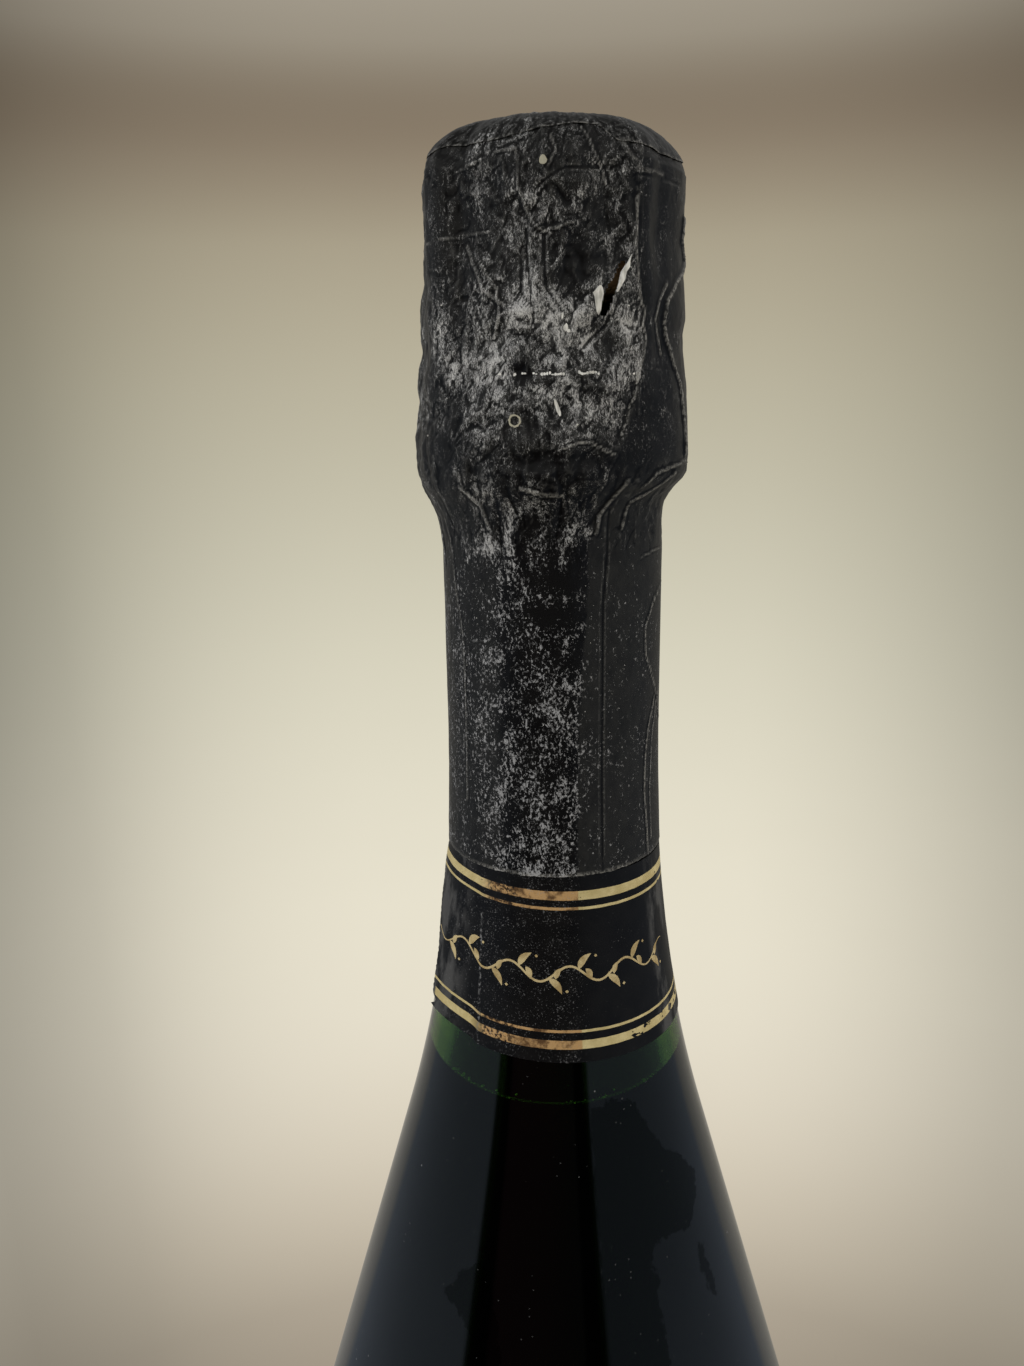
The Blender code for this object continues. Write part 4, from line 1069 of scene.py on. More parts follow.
# Folds: a line of (angle in degrees, height in mm), then width and rise in mm, and greyness (below 0, black).
# A grey fold is bare lacquer with a painted highlight, a black one painted shade
FOLDS = (
    ((-14, 317), (-13, 313.1), (-10, 310.7), (-6, 309.1), (-2, 308.8), (4, 309.2), (9, 309.5), 0.28, 0.14,
     0.22),
    ((13, 319), (16, 317.4), (18, 316.0), (21, 314.7), (22, 313.3), 0.24, 0.14, 0.6),
    ((-42, 315.6), (-33, 316.1), (-26, 317.0), (-15, 317.0), 0.4, 0.15, 0.3),
    ((-6, 312.9), (-2, 313.8), (5, 314.8), (13, 315.0), (22, 315.0), 0.26, -0.14, -0.8),
    ((-44, 315.5), (-25, 317.0), (-8, 318.0), 0.30, -0.12, -0.6),
    ((33, 314.3), (49, 314.8), (66, 314.6), 0.30, -0.12, -0.6),
    ((0, 318.0), (2, 316.6), (-1, 315.1), 0.30, 0.15, 0.35),
    ((13, 296.6), (22, 298.9), (23, 299.7), 0.45, -0.25, -0.95),
    ((-12, 307.1), (-12, 302.4), (-8, 300.9), 0.30, -0.12, -0.5),
    ((-11, 311.7), (-8, 309.6), (-3, 308.6), (4, 309.0), (6, 309.3), 0.20, 0.10, 0.6),
    ((28, 317.6), (31, 316.2), (35, 314.7), (51, 314.9), 0.5, 0.20, 0.3),
    ((-10, 308.8), (-10, 306.0), (-8, 302.6), (-7, 299.5), 0.4, -0.22, -0.3),
    ((-3, 308.2), (-3, 305.6), (-2, 302.8), (4, 300.3), 0.35, -0.25, -0.8),
    ((-80, 307.6), (-70, 308.0), (-56, 308.4), (-42, 308.8), (-26, 308.9), 0.20, 0.08, 0.45),
    ((-38, 307.7), (-31, 304.7), (-28, 302.9), (-19, 301.1), 0.42, 0.18, 0.45),
    ((-30, 305.8), (-22, 302.8), (-21, 300.0), (-24, 297.7), 0.3, 0.14, 0.5),
    ((34, 313.0), (33, 307.2), (35, 303.0), (36, 301.3), (38, 300.4), (37, 299.0), (39, 297.6), (37, 295.2),
     (35, 293.7), (34, 291.3), (31, 289.3), (28, 286.9), 0.28, 0.14, 0.75),
    ((78, 311.5), (76, 308.8), (82, 306.8), (74, 305.5), (63, 304.0), (54, 301.8), (52, 299.7), (56, 297.1),
     (60, 294.7), (66, 292.3), (69, 288.5), (70, 284.3), 0.5, 0.42, 0.9),
    ((54, 303.6), (48, 301.7), (45, 299.7), (49, 297.1), (50, 295.9), 0.4, 0.25, 0.7),
    ((41, 280.9), (47, 282.4), (55, 282.9), (69, 283.5), (76, 283.2), 0.4, 0.25, 0.6),
    ((4, 285.6), (9, 286.1), (14, 286.3), (19, 285.5), (24, 284.8), 0.25, 0.12, 0.9),
    ((21, 275.6), (22, 277.6), (27, 279.5), (31, 281.7), 0.5, 0.25, 0.4),
    ((35, 276.0), (36, 277.5), (38, 279.0), (46, 279.8), (55, 281.3), (60, 282.2), 0.45, 0.3, 0.6),
    ((-80, 281.0), (-76, 278.0), (-74, 275.0), (-73, 271.0), 0.5, 0.2, 0.5),
    ((-62, 277.0), (-59, 269.2), (-52, 262.4), (-51, 253.4), (-51, 240.0), 0.35, 0.10, 0.5),
    ((78, 268.0), (63, 266.2), (54, 263.1), (55, 259.4), (66, 255.0), (79, 249.6), 0.35, 0.14, 0.8),
    ((66, 253.0), (59, 249.6), (56, 245.9), (55, 241.0), (57, 235.8), (58, 231.8), 0.40, 0.14, 0.8),
    ((72, 254.0), (64, 248.0), (61, 241.0), (62, 234.0), 0.35, 0.10, 0.6),
    ((49, 272.1), (62, 272.6), (80, 272.4), 0.25, 0.08, 0.25),
    ((-40, 281.0), (-33, 279.0), (-31, 276.4), 0.6, 0.2, 0.4),
    ((-12, 281.2), (-4, 280.4), (4, 280.2), 0.5, 0.2, 0.5),
    ((27, 278.2), (27, 273.2), (25, 266.6), (25, 249.2), (25, 231.1), 0.42, -0.12, -0.8),
)
# Creases of the head, of the gathers below it and of the neck: rise, cells round, cell height and seed
HEAD_CREASES = ((0.00027, 25, 0.0043, 11), (0.00020, 50, 0.0022, 12), (0.00010, 104, 0.0011, 13))
GATHER_CREASES = ((0.00024, 34, 0.006, 14), (0.00010, 90, 0.0015, 15))
NECK_CREASES = ((0.00004, 22, 0.012, 16), (0.00003, 96, 0.0016, 17))
# Soft hollows (below 0) and bumps: angle, height in mm, half width, half height and rise in mm
DENTS = (
    (8, 305.0, 2.2, 3.6, -0.45),
    (6, 311.6, 2.4, 1.8, -0.30),
    (0, 284.3, 7.0, 1.1, -0.35),
    (-14, 286.6, 4.0, 1.2, 0.12),
    (20, 302.5, 2.0, 2.2, 0.25),
    (-38, 302.2, 0.7, 0.5, -0.3),
    (-12, 293.8, 1.3, 1.0, -0.22),
    (45, 309.0, 2.4, 4.0, -0.25),
    (-55, 312.0, 3.0, 3.0, 0.15),
)
# Right edge of the rubbed side, as (height in mm, angle in degrees)
RUBBED_EDGE = (
    (231, 11), (246, 12), (253, 12), (256.6, 14), (263, 15), (270, 17), (277, 17), (280, 20), (282.8, 21),
    (284.8, 25), (286.9, 28), (289.3, 31), (291.3, 34), (293.7, 35), (295.2, 37), (297.6, 39), (299, 37),
    (301.3, 36), (305.5, 33), (310.3, 32), (313, 34), (318, 36), (322, 44),
)
# Share of the lacquer rubbed off on the worn side, by height in mm
RUB_BY_HEIGHT = (
    (231.0, 0.42), (233.5, 0.28), (240, 0.25), (250, 0.27), (260, 0.24), (264, 0.20), (271, 0.25),
    (276, 0.30), (281, 0.18), (283, 0.08), (285.5, 0.10), (288, 0.27), (293, 0.36), (298, 0.47),
    (302, 0.38), (305, 0.21), (311, 0.14), (315, 0.12), (318, 0.10), (322, 0.08),
)
# The same by angle from the front in degrees, as a factor; the back is invented
RUB_BY_ANGLE = (
    (-180, 0.7), (-150, 0.3), (-120, 0.9), (-95, 0.5), (-78, 0.7), (-66, 0.6), (-56, 0.40), (-46, 0.55),
    (-34, 0.8), (-22, 1.1), (-9, 1.0), (4, 1.05), (20, 1.0), (40, 0.9), (92, 0.3), (125, 1.0), (150, 0.5),
    (180, 0.7),
)
# Places where more lacquer went, and where it stayed, with painted shade in the hollows over the dents and
# under the head: angle, height in mm, half width in degrees, half height in mm, how much
RUBBED = (
    (0, 297.3, 12, 2.4, 0.20), (-12, 301.0, 12, 2.6, 0.16), (-50, 297.0, 12, 3.0, 0.12),
    (14, 298.6, 9, 2.4, 0.16), (30, 299.5, 6, 2.8, 0.10), (-30, 279.0, 14, 3.0, 0.06),
    (-20, 306.0, 6, 3.5, 0.08), (0, 232.6, 14, 1.6, 0.20), (19, 247.6, 6, 3.4, 0.40),
    (50, 257.5, 5, 20, 0.03), (11, 275.6, 12, 2.6, 0.17), (-18, 272.5, 9, 3.0, 0.06),
)
# Kept lacquer; those at 312.6, 305.3, 293.9 and 283.4 mm are painted shade in hollows
KEPT_AND_SHADED = (
    (3.5, 270.2, 13, 1.9, 0.99), (-1, 265.6, 18, 2.0, 0.99), (-16, 274.4, 2.4, 2.0, 0.9),
    (-19, 253.9, 3.5, 1.6, 0.8), (-18, 249.3, 5, 1.5, 0.7), (-15, 239.6, 6.5, 1.6, 0.8),
    (-14, 234.2, 8, 1.0, 0.95), (7, 254.1, 5, 1.6, 0.7), (9, 305.3, 9, 5.0, 0.98),
    (-12, 293.9, 5.5, 1.9, 0.99), (0, 283.4, 24, 1.9, 0.85), (-33, 269.5, 6, 3.5, 0.6),
    (6, 312.6, 6, 2.0, 0.5), (-42, 268.0, 7, 5.0, 0.5), (-46, 240.0, 6, 6.0, 0.5), (8, 259.0, 3, 1.4, 0.6),
)
# Painted sheen: a soft whitish reflection painted into the haze, listed the same way
PAINTED_SHEEN = (
    (66, 289.5, 4, 5.5, 0.50), (58, 295, 3, 4.0, 0.20), (62, 303.5, 4, 3.0, 0.16), (76, 311, 3, 3.5, 0.25),
    (52, 283.0, 10, 1.4, 0.35), (84, 292, 5, 7.0, 0.3), (64, 258.0, 8, 7.0, 0.24),
    (57, 240.0, 2.5, 12.0, 0.20),
)
# Painted shade: haze taken off in the hollows under the crown and under the head, listed as the sheen is
SHADED_HOLLOWS = ((9, 305.3, 9, 5.0, 0.09), (-12, 293.9, 5, 1.8, 0.20), (0, 283.4, 24, 2.0, 0.10))
SPECKLE_SPREAD = 0.059


def near_line(angle, height, points):
    """Distance in metres from each place to a line of (degrees, mm) points, measured on the unrolled foil."""
    turns, heights = np.array(points, float).T
    across = from_front(angle) * FOIL_MEAN_RADIUS
    return line_distance(across, height, np.radians(turns) * FOIL_MEAN_RADIUS, heights * MM)


def ovals(angle, height, table, wide=math.pi / 180):
    """Soft spots from a table of (degrees, mm, half width, half height, amount), each eased out at its rim.

    The half width is in degrees, or in another unit that wide turns to radians.
    """
    patches = []
    for middle, middle_height, half_width, half_height, amount in table:
        turn = from_front(angle - math.radians(middle))
        away = np.hypot(turn / (half_width * wide), (height / MM - middle_height) / half_height)
        patches.append(amount * (1 - ease(away / 1.25 - 0.15)))
    return patches


def leg_height_line(height):
    """The radius that the foil is held out to over a wire leg: straight, then round the bend at its top."""
    over = np.clip(height - LEG_BEND_Z, 0, LEG_BEND_RADIUS * 0.98)
    bent = CROWN_RADIUS + np.sqrt(LEG_BEND_RADIUS**2 - over**2) + 0.0010
    return np.where(height > LEG_BEND_Z, np.minimum(bent, LEG_LINE), LEG_LINE)


def leg_ridge(angle, height):
    """How far the foil is held out over the wire legs and the belt's tail: 1 over them and 0 between."""
    over_leg = 1 - ease((from_legs(angle) - math.radians(2)) / math.radians(13))
    tail = np.abs(from_front(angle - TAIL_ANGLE))
    over_tail = 1 - ease((tail - math.radians(11)) / math.radians(12))
    over_tail = over_tail * (1 - ease((height - TAIL_BULGE_TOP_Z) / 0.0022))
    return np.maximum(over_leg, over_tail) * ease((height - HEAD_FOOT_Z) / 0.0035)


def wire_reach(angle):
    """The radius that the wire legs themselves reach at this angle, or 0 beside them."""
    apart = from_legs(angle)
    beside_leg = LEG_RADIUS * np.sin(apart)
    reach = LEG_RADIUS * np.cos(apart) + np.sqrt(np.maximum(0, LEG_REACH**2 - beside_leg**2))
    return np.where(beside_leg < LEG_REACH, reach, 0)


def foil_haze_and_sheen(angle, height, rubbed):
    """How hazed the lacquer is: hardly in a strip down the neck's front, more beside it and over the head,
    less in the hollows for painted shade, and with spots of painted sheen.
    """
    side = np.degrees(from_front(angle))
    strip = ease((side + 32) / 8) * (1 - smooth_side(angle, height))
    neck = 1 - ease((height - HEAD_FOOT_Z) / 0.0060)
    # Painted shade: less haze in the hollows
    hollow_shade = sum(ovals(angle, height, SHADED_HOLLOWS))
    haze_and_sheen = np.maximum(0, mix(0.11 + 0.42 * rubbed - hollow_shade, 0.19 * (1 - strip) + 0.04 * rubbed, neck))
    haze_and_sheen = mix(haze_and_sheen, mix(0.07, 0.24, neck), smooth_side(angle, height))
    # Spots of painted sheen
    for patch in ovals(angle, height, PAINTED_SHEEN):
        haze_and_sheen = np.maximum(haze_and_sheen, patch)
    return haze_and_sheen


def foil_marks(angle, height, fold, relief, damped=1.0):
    """The numbers that the foil's finish reads: speckle threshold, haze with its painted sheen, fold (bare
    lacquer with a painted highlight where grey, painted shade where black) and bend.
    """
    rubbed = foil_wear(angle, height) * damped
    return {
        "limit": 0.5 + SPECKLE_SPREAD * rare(rubbed),
        "haze_and_sheen": foil_haze_and_sheen(angle, height, rubbed),
        "fold": fold,
        "bend": sharpness(relief),
    }


def creases(angle, height, table):
    """The sum of crumpled noises, each times its rise."""
    return sum(rise * facets(angle, height, *lattice) for rise, *lattice in table)


def foil_relief(angle, height):
    """Creases, folds and dents of the foil, in metres, and how grey (or black, below 0) the folds are."""
    calm = 1 - 0.72 * smooth_side(angle, height)
    head = ease((height - HEAD_CREASE_Z) / 0.004)
    gather = ease((height - GATHER_Z) / 0.004) * (1 - ease((height - GATHER_TOP_Z) / 0.002))
    upright = 1 - 2 * np.abs(swell(angle, height, 54, 0.011, 41))
    relief = head * calm * (creases(angle, height, HEAD_CREASES) + 0.00007 * upright)
    relief += gather * creases(angle, height, GATHER_CREASES)
    relief += (1 - head) * calm * creases(angle, height, NECK_CREASES)
    shade = np.zeros_like(relief)
    for fold in FOLDS:
        *line, width, rise, greyness = fold
        away = near_line(angle, height, line) / (width * MM)
        relief += rise * MM * np.maximum(0, 1 - away / 0.85)
        # A fold's line: grey is bare lacquer with a painted highlight, black is painted shade
        shown = greyness * np.exp(-(away / 0.36) ** 2)
        shade = np.where(np.abs(shown) > np.abs(shade), shown, shade)
    for dent in ovals(angle, height, DENTS, MM / FOIL_MEAN_RADIUS):
        relief += dent * MM
    return relief, shade


def sharpness(relief):
    """How sharply the foil bends at each point of a grid: 1 on a ridge, -1 in a furrow."""
    beside_mean = (np.roll(relief, 1, axis=1) + np.roll(relief, -1, axis=1)) / 2
    above_mean = relief.copy()
    above_mean[1:-1] = (relief[2:] + relief[:-2]) / 2
    return np.clip((2 * relief - beside_mean - above_mean) / FULL_BEND, -1, 1)


def rare(share):
    """How many spreads above its mean a bell-shaped value lies that only this share of values exceeds."""
    held = np.clip(share, 0.0005, 0.9995)
    tail = np.sqrt(-2 * np.log(np.minimum(held, 1 - held)))
    far = tail - (2.30753 + 0.27061 * tail) / (1 + 0.99229 * tail + 0.04481 * tail**2)
    return np.where(held < 0.5, far, -far)


def smooth_side(angle, height):
    """1 on the side that was never rubbed, right of an uneven edge, and 0 elsewhere."""
    side = np.degrees(from_front(angle))
    edge = straight_line(RUBBED_EDGE, height / MM) + 1.2 * facets(angle, height, 90, 0.0016, 51)
    return ease((side - edge) / 1.0) * (1 - ease((side - 92) / 8))


def foil_wear(angle, height):
    """The share of the lacquer rubbed off: by height and angle, mottled, with spots, less the kept places and
    the hollows given painted shade.
    """
    side = np.degrees(from_front(angle))
    rubbed = straight_line(RUB_BY_HEIGHT, height / MM) * straight_line(RUB_BY_ANGLE, side)
    uneven = 1 + 0.60 * swell(angle, height, 34, 0.0042, 52) + 0.60 * swell(angle, height, 80, 0.0018, 53)
    rubbed = rubbed * np.clip(uneven, 0.15, 2.0) * (1 - 0.97 * smooth_side(angle, height))
    rubbed = rubbed + 0.02 * smooth_side(angle, height)
    for patch in ovals(angle, height, RUBBED):
        rubbed = rubbed + patch * np.clip(uneven, 0.1, 1.4) * (1 - 0.5 * smooth_side(angle, height))
    # Kept lacquer, and painted shade in the hollows
    for patch in ovals(angle, height, KEPT_AND_SHADED):
        rubbed = rubbed * (1 - patch)
    return np.clip(rubbed, 0.0, 0.8)


def foil_radius(angle, height):
    """The foil's outer radius: the two seen edges mixed round the bottle, held out over the wire legs."""
    share = (1 + np.sin(angle)) / 2
    plain = MM * mix(straight_line(LEFT_EDGE, height / MM), straight_line(RIGHT_EDGE, height / MM), share)
    ridge = leg_ridge(angle, height)
    line = leg_height_line(height)
    held = np.where(height < COLLAR_Z, mix(plain, line, ease((height - HEAD_FOOT_Z) / 0.0050)), line)
    return mix(plain, np.maximum(held, plain), ridge)


def foil_sleeve(angle, height):
    """Outer and inner points of the foil's wall at a grid of angles and heights, and its marks.

    The outer radius is foil_radius plus the relief, but never less than the glass, label or wire underneath
    needs. The inner one is a foil's thickness less.
    """
    relief, shade = foil_relief(angle, height)
    radius = foil_radius(angle, height)
    label_edge = glass_radius(height) + GLUE_THICKNESS + PAPER_THICKNESS + SKIRT_OVER_LABEL
    bare_glass = glass_radius(height) + SKIRT_OVER_GLASS
    up_slope = ease((height - COLLAR_SLOPE_Z) / COLLAR_SLOPE_HEIGHT)
    over_collar = mix(bare_glass, COLLAR_RADIUS + FOIL_OVER_COLLAR, up_slope)
    wall = np.where(height < OVER_LABEL_Z, label_edge, over_collar)
    by_wire = (height > WIRE_FOOT_Z) & (height < LEG_BEND_Z)
    wall = np.maximum(wall, np.where(by_wire, wire_reach(angle), 0)) + FOIL_THICKNESS
    held = leg_ridge(angle, height) * (height > TAUT_FOOT_Z)
    outer = np.maximum(radius + mix(relief, np.minimum(relief, TAUT_RELIEF), held), wall)
    marks = foil_marks(angle, height, shade, outer - radius)
    return around(outer, angle, height), around(outer - FOIL_THICKNESS, angle, height), marks


def crown_line(share):
    """Shares of the way out, up and inward, from the wall (0) over the corner (1) to the crown's end (2).

    The corner is a quarter of a rounded square: out and up are a power of the cosine and of the sine.
    """
    turn = np.clip(share, 0, 1) * np.pi / 2
    out = np.cos(turn) ** (2 / HEAD_CORNER_FULLNESS)
    up = np.sin(turn) ** (2 / HEAD_CORNER_FULLNESS)
    inward = np.clip(share - 1, 0, 1)
    return out, up, inward


def crown(angle, share, lift, end_radius):
    """Radius and height over the top corner and crown, their slope, relief and greyness.

    The points of crown_line are moved square to the surface, by lift and by the wall's fading creases.
    """
    out, up, inward = crown_line(share)
    wall_radius = foil_radius(angle, np.full_like(angle, HEAD_CORNER_Z))
    along = HEAD_CORNER_Z + HEAD_CORNER_HEIGHT * np.clip(share, 0, 1) * 1.25 + inward * 0.009
    relief, grey = foil_relief(angle, along)
    ridge = leg_ridge(angle, np.full_like(angle, HEAD_CORNER_Z))
    relief = np.where(ridge > 0.2, np.maximum(relief, -TAUT_RELIEF), relief)
    radius = mix(HEAD_FLAT_RADIUS, wall_radius, out) * (1 - inward) + end_radius * inward
    dome = CROWN_DOME * (1 - (np.minimum(radius, HEAD_FLAT_RADIUS) / HEAD_FLAT_RADIUS) ** 2)
    height = HEAD_CORNER_Z + HEAD_CORNER_HEIGHT * up + dome
    slope = np.clip(out, 0, 1) ** 0.8
    push = relief * np.clip(1 - 0.66 * up, 0.3, 1) * (1 - 0.75 * inward) + lift
    return radius + push * slope, height + push * (1 - slope), slope, relief, grey


def two_faces(angle, radius, height, slope):
    """Outer and inner points of foil of this slope: 1 where it is upright, 0 where it is level."""
    outer = around(radius, angle, height)
    return outer, around(radius - FOIL_THICKNESS * slope, angle, height - FOIL_THICKNESS * (1 - slope))


# The torn slit in the hood, as (angle in degrees, height in mm), and the threads' height under the tear line
TEAR_HALF_WIDTH = 0.00050
TEAR_SLIT = ((28.5, 305.0), (26.5, 303.8), (24, 302.9), (22, 301.6), (20.6, 300.2))
THREAD_HEIGHT = 293.75


def beside_slit(places):
    """Whether places on the hood lie clear of the torn slit."""
    angle = np.arctan2(places[:, 0], -places[:, 1])
    return near_line(angle, places[:, 2], TEAR_SLIT) > TEAR_HALF_WIDTH


def hood():
    """The foil above the tear line: wall, rounded corner and the crown folded in to a round hole.

    The wall is foil_sleeve at a grid of angles and heights. The rest is crown at the same angles and at
    shares from 0 to 2, as two grids a foil's thickness apart.
    """
    angles = np.arange(HOOD_COLUMNS) * 2 * np.pi / HOOD_COLUMNS
    angle, height = np.meshgrid(angles, np.linspace(TEAR_Z + TEAR_GAP / 2, HEAD_CORNER_Z, 86))
    outer, inner, marks = foil_sleeve(angle, height)
    shares = np.concatenate([np.linspace(0, 1, 26)[1:], np.linspace(1, 2, 7)[1:]])
    angle, share = np.meshgrid(angles, shares)
    radius, height, slope, relief, fold = crown(angle, share, -0.00012, CROWN_HOLE_RADIUS)
    top_outer, top_inner = two_faces(angle, radius, height, slope)
    top_marks = foil_marks(angle, height, fold, relief)
    marks = {name: np.concatenate([marks[name], top_marks[name]]) for name in marks}
    return sheet(
        "crumpled_hood", np.concatenate([outer, top_outer]), np.concatenate([inner, top_inner]), "hood",
        FOIL, ["foil_hood"], marks, sharp=FOIL_SHARP, stays=beside_slit,
    )


def skirt():
    """The foil below the tear line: foil_sleeve at angles and heights, its lowest rows a little uneven."""
    angles = np.arange(SKIRT_COLUMNS) * 2 * np.pi / SKIRT_COLUMNS
    neck_heights = np.linspace(FOIL_BOTTOM_Z, GATHER_Z, 70)[:-1]
    head_heights = np.linspace(GATHER_Z, TEAR_Z - TEAR_GAP / 2, 84)
    angle, height = np.meshgrid(angles, np.concatenate([neck_heights, head_heights]))
    low_edge = (height < OVER_LABEL_Z) * (OVER_LABEL_Z - height) / (OVER_LABEL_Z - FOIL_BOTTOM_Z)
    height = height + low_edge * 0.00012 * facets(angle, height * 0, 120, 0.01, 61)
    outer, inner, marks = foil_sleeve(angle, height)
    front = 1 - ease((np.abs(from_front(angle)) - 0.5) / 0.4)
    edge = (height < FOIL_BOTTOM_Z + 0.0003) * (0.30 + 0.35 * front)
    marks["fold"] = np.where(edge > 0, edge, marks["fold"])
    return sheet(
        "gathered_skirt", outer, inner, "bottle", FOIL, ["foil_skirt"], marks,
        sharp=FOIL_SHARP,
    )


# The edge of the round foil on the crown, as (angle in degrees, height in mm)
DISC_EDGE = (
    (-180, 318.3), (-140, 317.6), (-100, 318.2), (-80, 317.2), (-62, 317.4), (-47, 318.3), (-34, 318.1),
    (-23, 318.2), (-13, 318.6), (-4, 319.1), (4, 319.4), (13, 319.6), (21, 319.5), (24, 318.4), (27, 317.6),
    (33, 317.5), (46, 317.1), (64, 317.1), (90, 318.0), (120, 317.3), (150, 318.4), (180, 318.3),
)


def top_disc():
    """The round foil on the crown, from its uneven edge on the corner in to the axis.

    It is crown at shares from the edge's own share to 2, with small creases of its own, as two grids a foil's
    thickness apart, closed by a rim and by fans at the axis.
    """
    angles = np.arange(DISC_COLUMNS) * 2 * np.pi / DISC_COLUMNS
    side = np.degrees(from_front(angles))
    edge_up = (straight_line(DISC_EDGE, side) * MM - HEAD_CORNER_Z) / HEAD_CORNER_HEIGHT
    edge_share = np.arcsin(np.clip(edge_up, 0, 1) ** (HEAD_CORNER_FULLNESS / 2)) / (np.pi / 2)
    steps = np.linspace(0, 1, 44)[:-1, None]
    share = edge_share[None] + (2 - edge_share[None]) * steps
    angle = np.broadcast_to(angles, share.shape)
    radius, height, slope, relief, fold = crown(angle, share, 0.00004, 0.0)
    fuzz = 0.00010 * facets(angle, height, 150, 0.0007, 71) * (1 - 0.6 * np.clip(share - 1, 0, 1))
    radius = np.maximum(radius + fuzz * slope, 0.0002)
    height = height + fuzz * (1 - slope)
    outer, inner = two_faces(angle, radius, height, slope)
    index = np.arange(angle.size).reshape(angle.shape)
    quads = grid_quads(wrapped(index))
    pole = np.array([[0, 0, height[-1].mean()]])
    points = np.concatenate([outer.reshape(-1, 3), pole, inner.reshape(-1, 3), pole - (0, 0, FOIL_THICKNESS)])
    count = angle.size + 1
    middle = fan(index[-1], count - 1)
    start, end = index[0], np.roll(index[0], -1)
    rim = np.stack([end, start, start + count, end + count], axis=1)
    edge_grey = np.where(steps < 0.02, 0.55 + 0.0 * angle, 0.5 * fold)
    grid_marks = foil_marks(angle, height, edge_grey, relief + 2 * fuzz, 0.75)
    marks = {name: np.append(values.ravel(), values[-1].mean()) for name, values in grid_marks.items()}
    faces = [quads, quads[:, ::-1] + count, rim, middle, middle[:, ::-1] + count]
    return piece(
        "crown_disc", points, faces, "hood", FOIL, ["foil_top_disc"], both_sides(marks),
        sharp=FOIL_SHARP,
    )


def on_foil(angle, height, lift):
    """Points standing off the foil's outer face by lift."""
    outer, _, _ = foil_sleeve(angle, height)
    return outer + lift * around(np.ones_like(angle), angle, np.zeros_like(angle))


def scraps(name, outlines, body, material, thickness):
    """Small flat bits on the foil: outlines of (degrees, mm) points, each filled by a fan from its middle."""
    points, faces, shift = [], [], 0
    for outline in outlines:
        line = np.array(outline, float)
        ring = np.concatenate([line.mean(axis=0)[None], line])
        angle, height = np.radians(ring[:, 0])[None], ring[:, 1][None] * MM
        top = on_foil(angle, height, thickness)[0]
        under = on_foil(angle, height, -thickness)[0]
        count = len(ring)
        edge = np.arange(1, count)
        following = np.roll(edge, -1)
        face = fan(edge, 0)[:, ::-1]
        side = np.stack([edge, following, following + count], axis=1)
        other_side = np.stack([edge, following + count, edge + count], axis=1)
        block = np.concatenate([face, face[:, ::-1] + count, side, other_side])
        turn = np.cross(top[edge[1]] - top[0], top[edge[0]] - top[0]) @ top[0]
        faces.append((block if turn > 0 else block[:, ::-1]) + shift)
        points.append(np.concatenate([top, under]))
        shift += 2 * count
    return piece(name, np.concatenate(points), faces, body, material, sharp=math.radians(40))


def spot(angle, height, half_width, half_height, seed, corners=9):
    """An uneven round outline about a place: half sizes in mm, each corner's distance varied at random."""
    rng = np.random.default_rng(seed)
    turns = np.arange(corners) * 2 * np.pi / corners
    reach = rng.uniform(0.75, 1.15, corners)
    across = half_width * reach * np.cos(turns) * MM / FLECK_RADIUS
    return list(zip(angle + np.degrees(across), height + half_height * reach * np.sin(turns)))


def perforation_bits():
    """White threads of the torn perforation: short uneven dashes side by side just under the tear line."""
    rng = np.random.default_rng(5)
    bits = []
    for start, end, chance in ((-7, 4.6, 0.95), (9.5, 16, 0.8), (-21, -8, 0.25), (16, 33, 0.22)):
        for angle in np.arange(start, end, 1.05):
            if rng.uniform() < chance:
                height = THREAD_HEIGHT + rng.uniform(-0.12, 0.1)
                half_width, half_height = rng.uniform(0.12, 0.22), rng.uniform(0.10, 0.21)
                bits.append(spot(angle, height, half_width, half_height, int(rng.integers(1e6)), 6))
    return bits


def dust_bits(count, seed):
    """Tiny pale crumbs scattered over the skirt's rubbed side."""
    rng = np.random.default_rng(seed)
    bits = []
    for _ in range(count):
        angle, height = rng.uniform(-70, 40), rng.uniform(233, 293)
        size = rng.uniform(0.03, 0.065)
        bits.append(spot(angle, height, size, size * rng.uniform(0.7, 1.4), int(rng.integers(1e6)), 5))
    return bits


# Torn edges and flecks: outlines of (angle in degrees, height in mm)
LEFT_TORN_EDGE = (
    (19.2, 303.0), (18.2, 302.9), (17.0, 302.5), (16.0, 302.2), (16.6, 301.8), (17.0, 301.0), (17.6, 300.2),
    (18.6, 299.9), (19.3, 300.4), (19.5, 301.3), (20.2, 302.1), (19.9, 302.7),
)
RIGHT_TORN_EDGE = (
    (31.2, 306.2), (30.0, 305.5), (28.4, 304.8), (27.4, 304.4), (26.4, 303.2), (25.2, 302.3), (25.8, 302.3),
    (27.4, 303.0), (28.6, 303.6), (29.2, 304.4), (30.4, 304.9), (30.6, 305.5),
)
HOOD_FLECKS = (
    spot(4.2, 299.9, 0.13, 0.42, 1), spot(5.6, 298.6, 0.30, 0.46, 2), spot(6.7, 298.25, 0.24, 0.20, 3),
    spot(30.5, 300.9, 0.12, 0.1, 6), spot(-48, 301.6, 0.10, 0.08, 8),
)
SKIRT_FLECKS = (
    [(0.8, 291.0), (1.6, 290.9), (2.4, 290.4), (3.4, 289.6), (3.5, 289.2), (2.9, 289.1), (1.9, 289.6),
     (1.0, 290.4)],
    spot(9.6, 288.2, 0.11, 0.11, 9), spot(-60, 287, 0.1, 0.1, 11),
)
CREAM_DOT = (spot(-3.0, 315.6, 0.42, 0.46, 14, 11),)


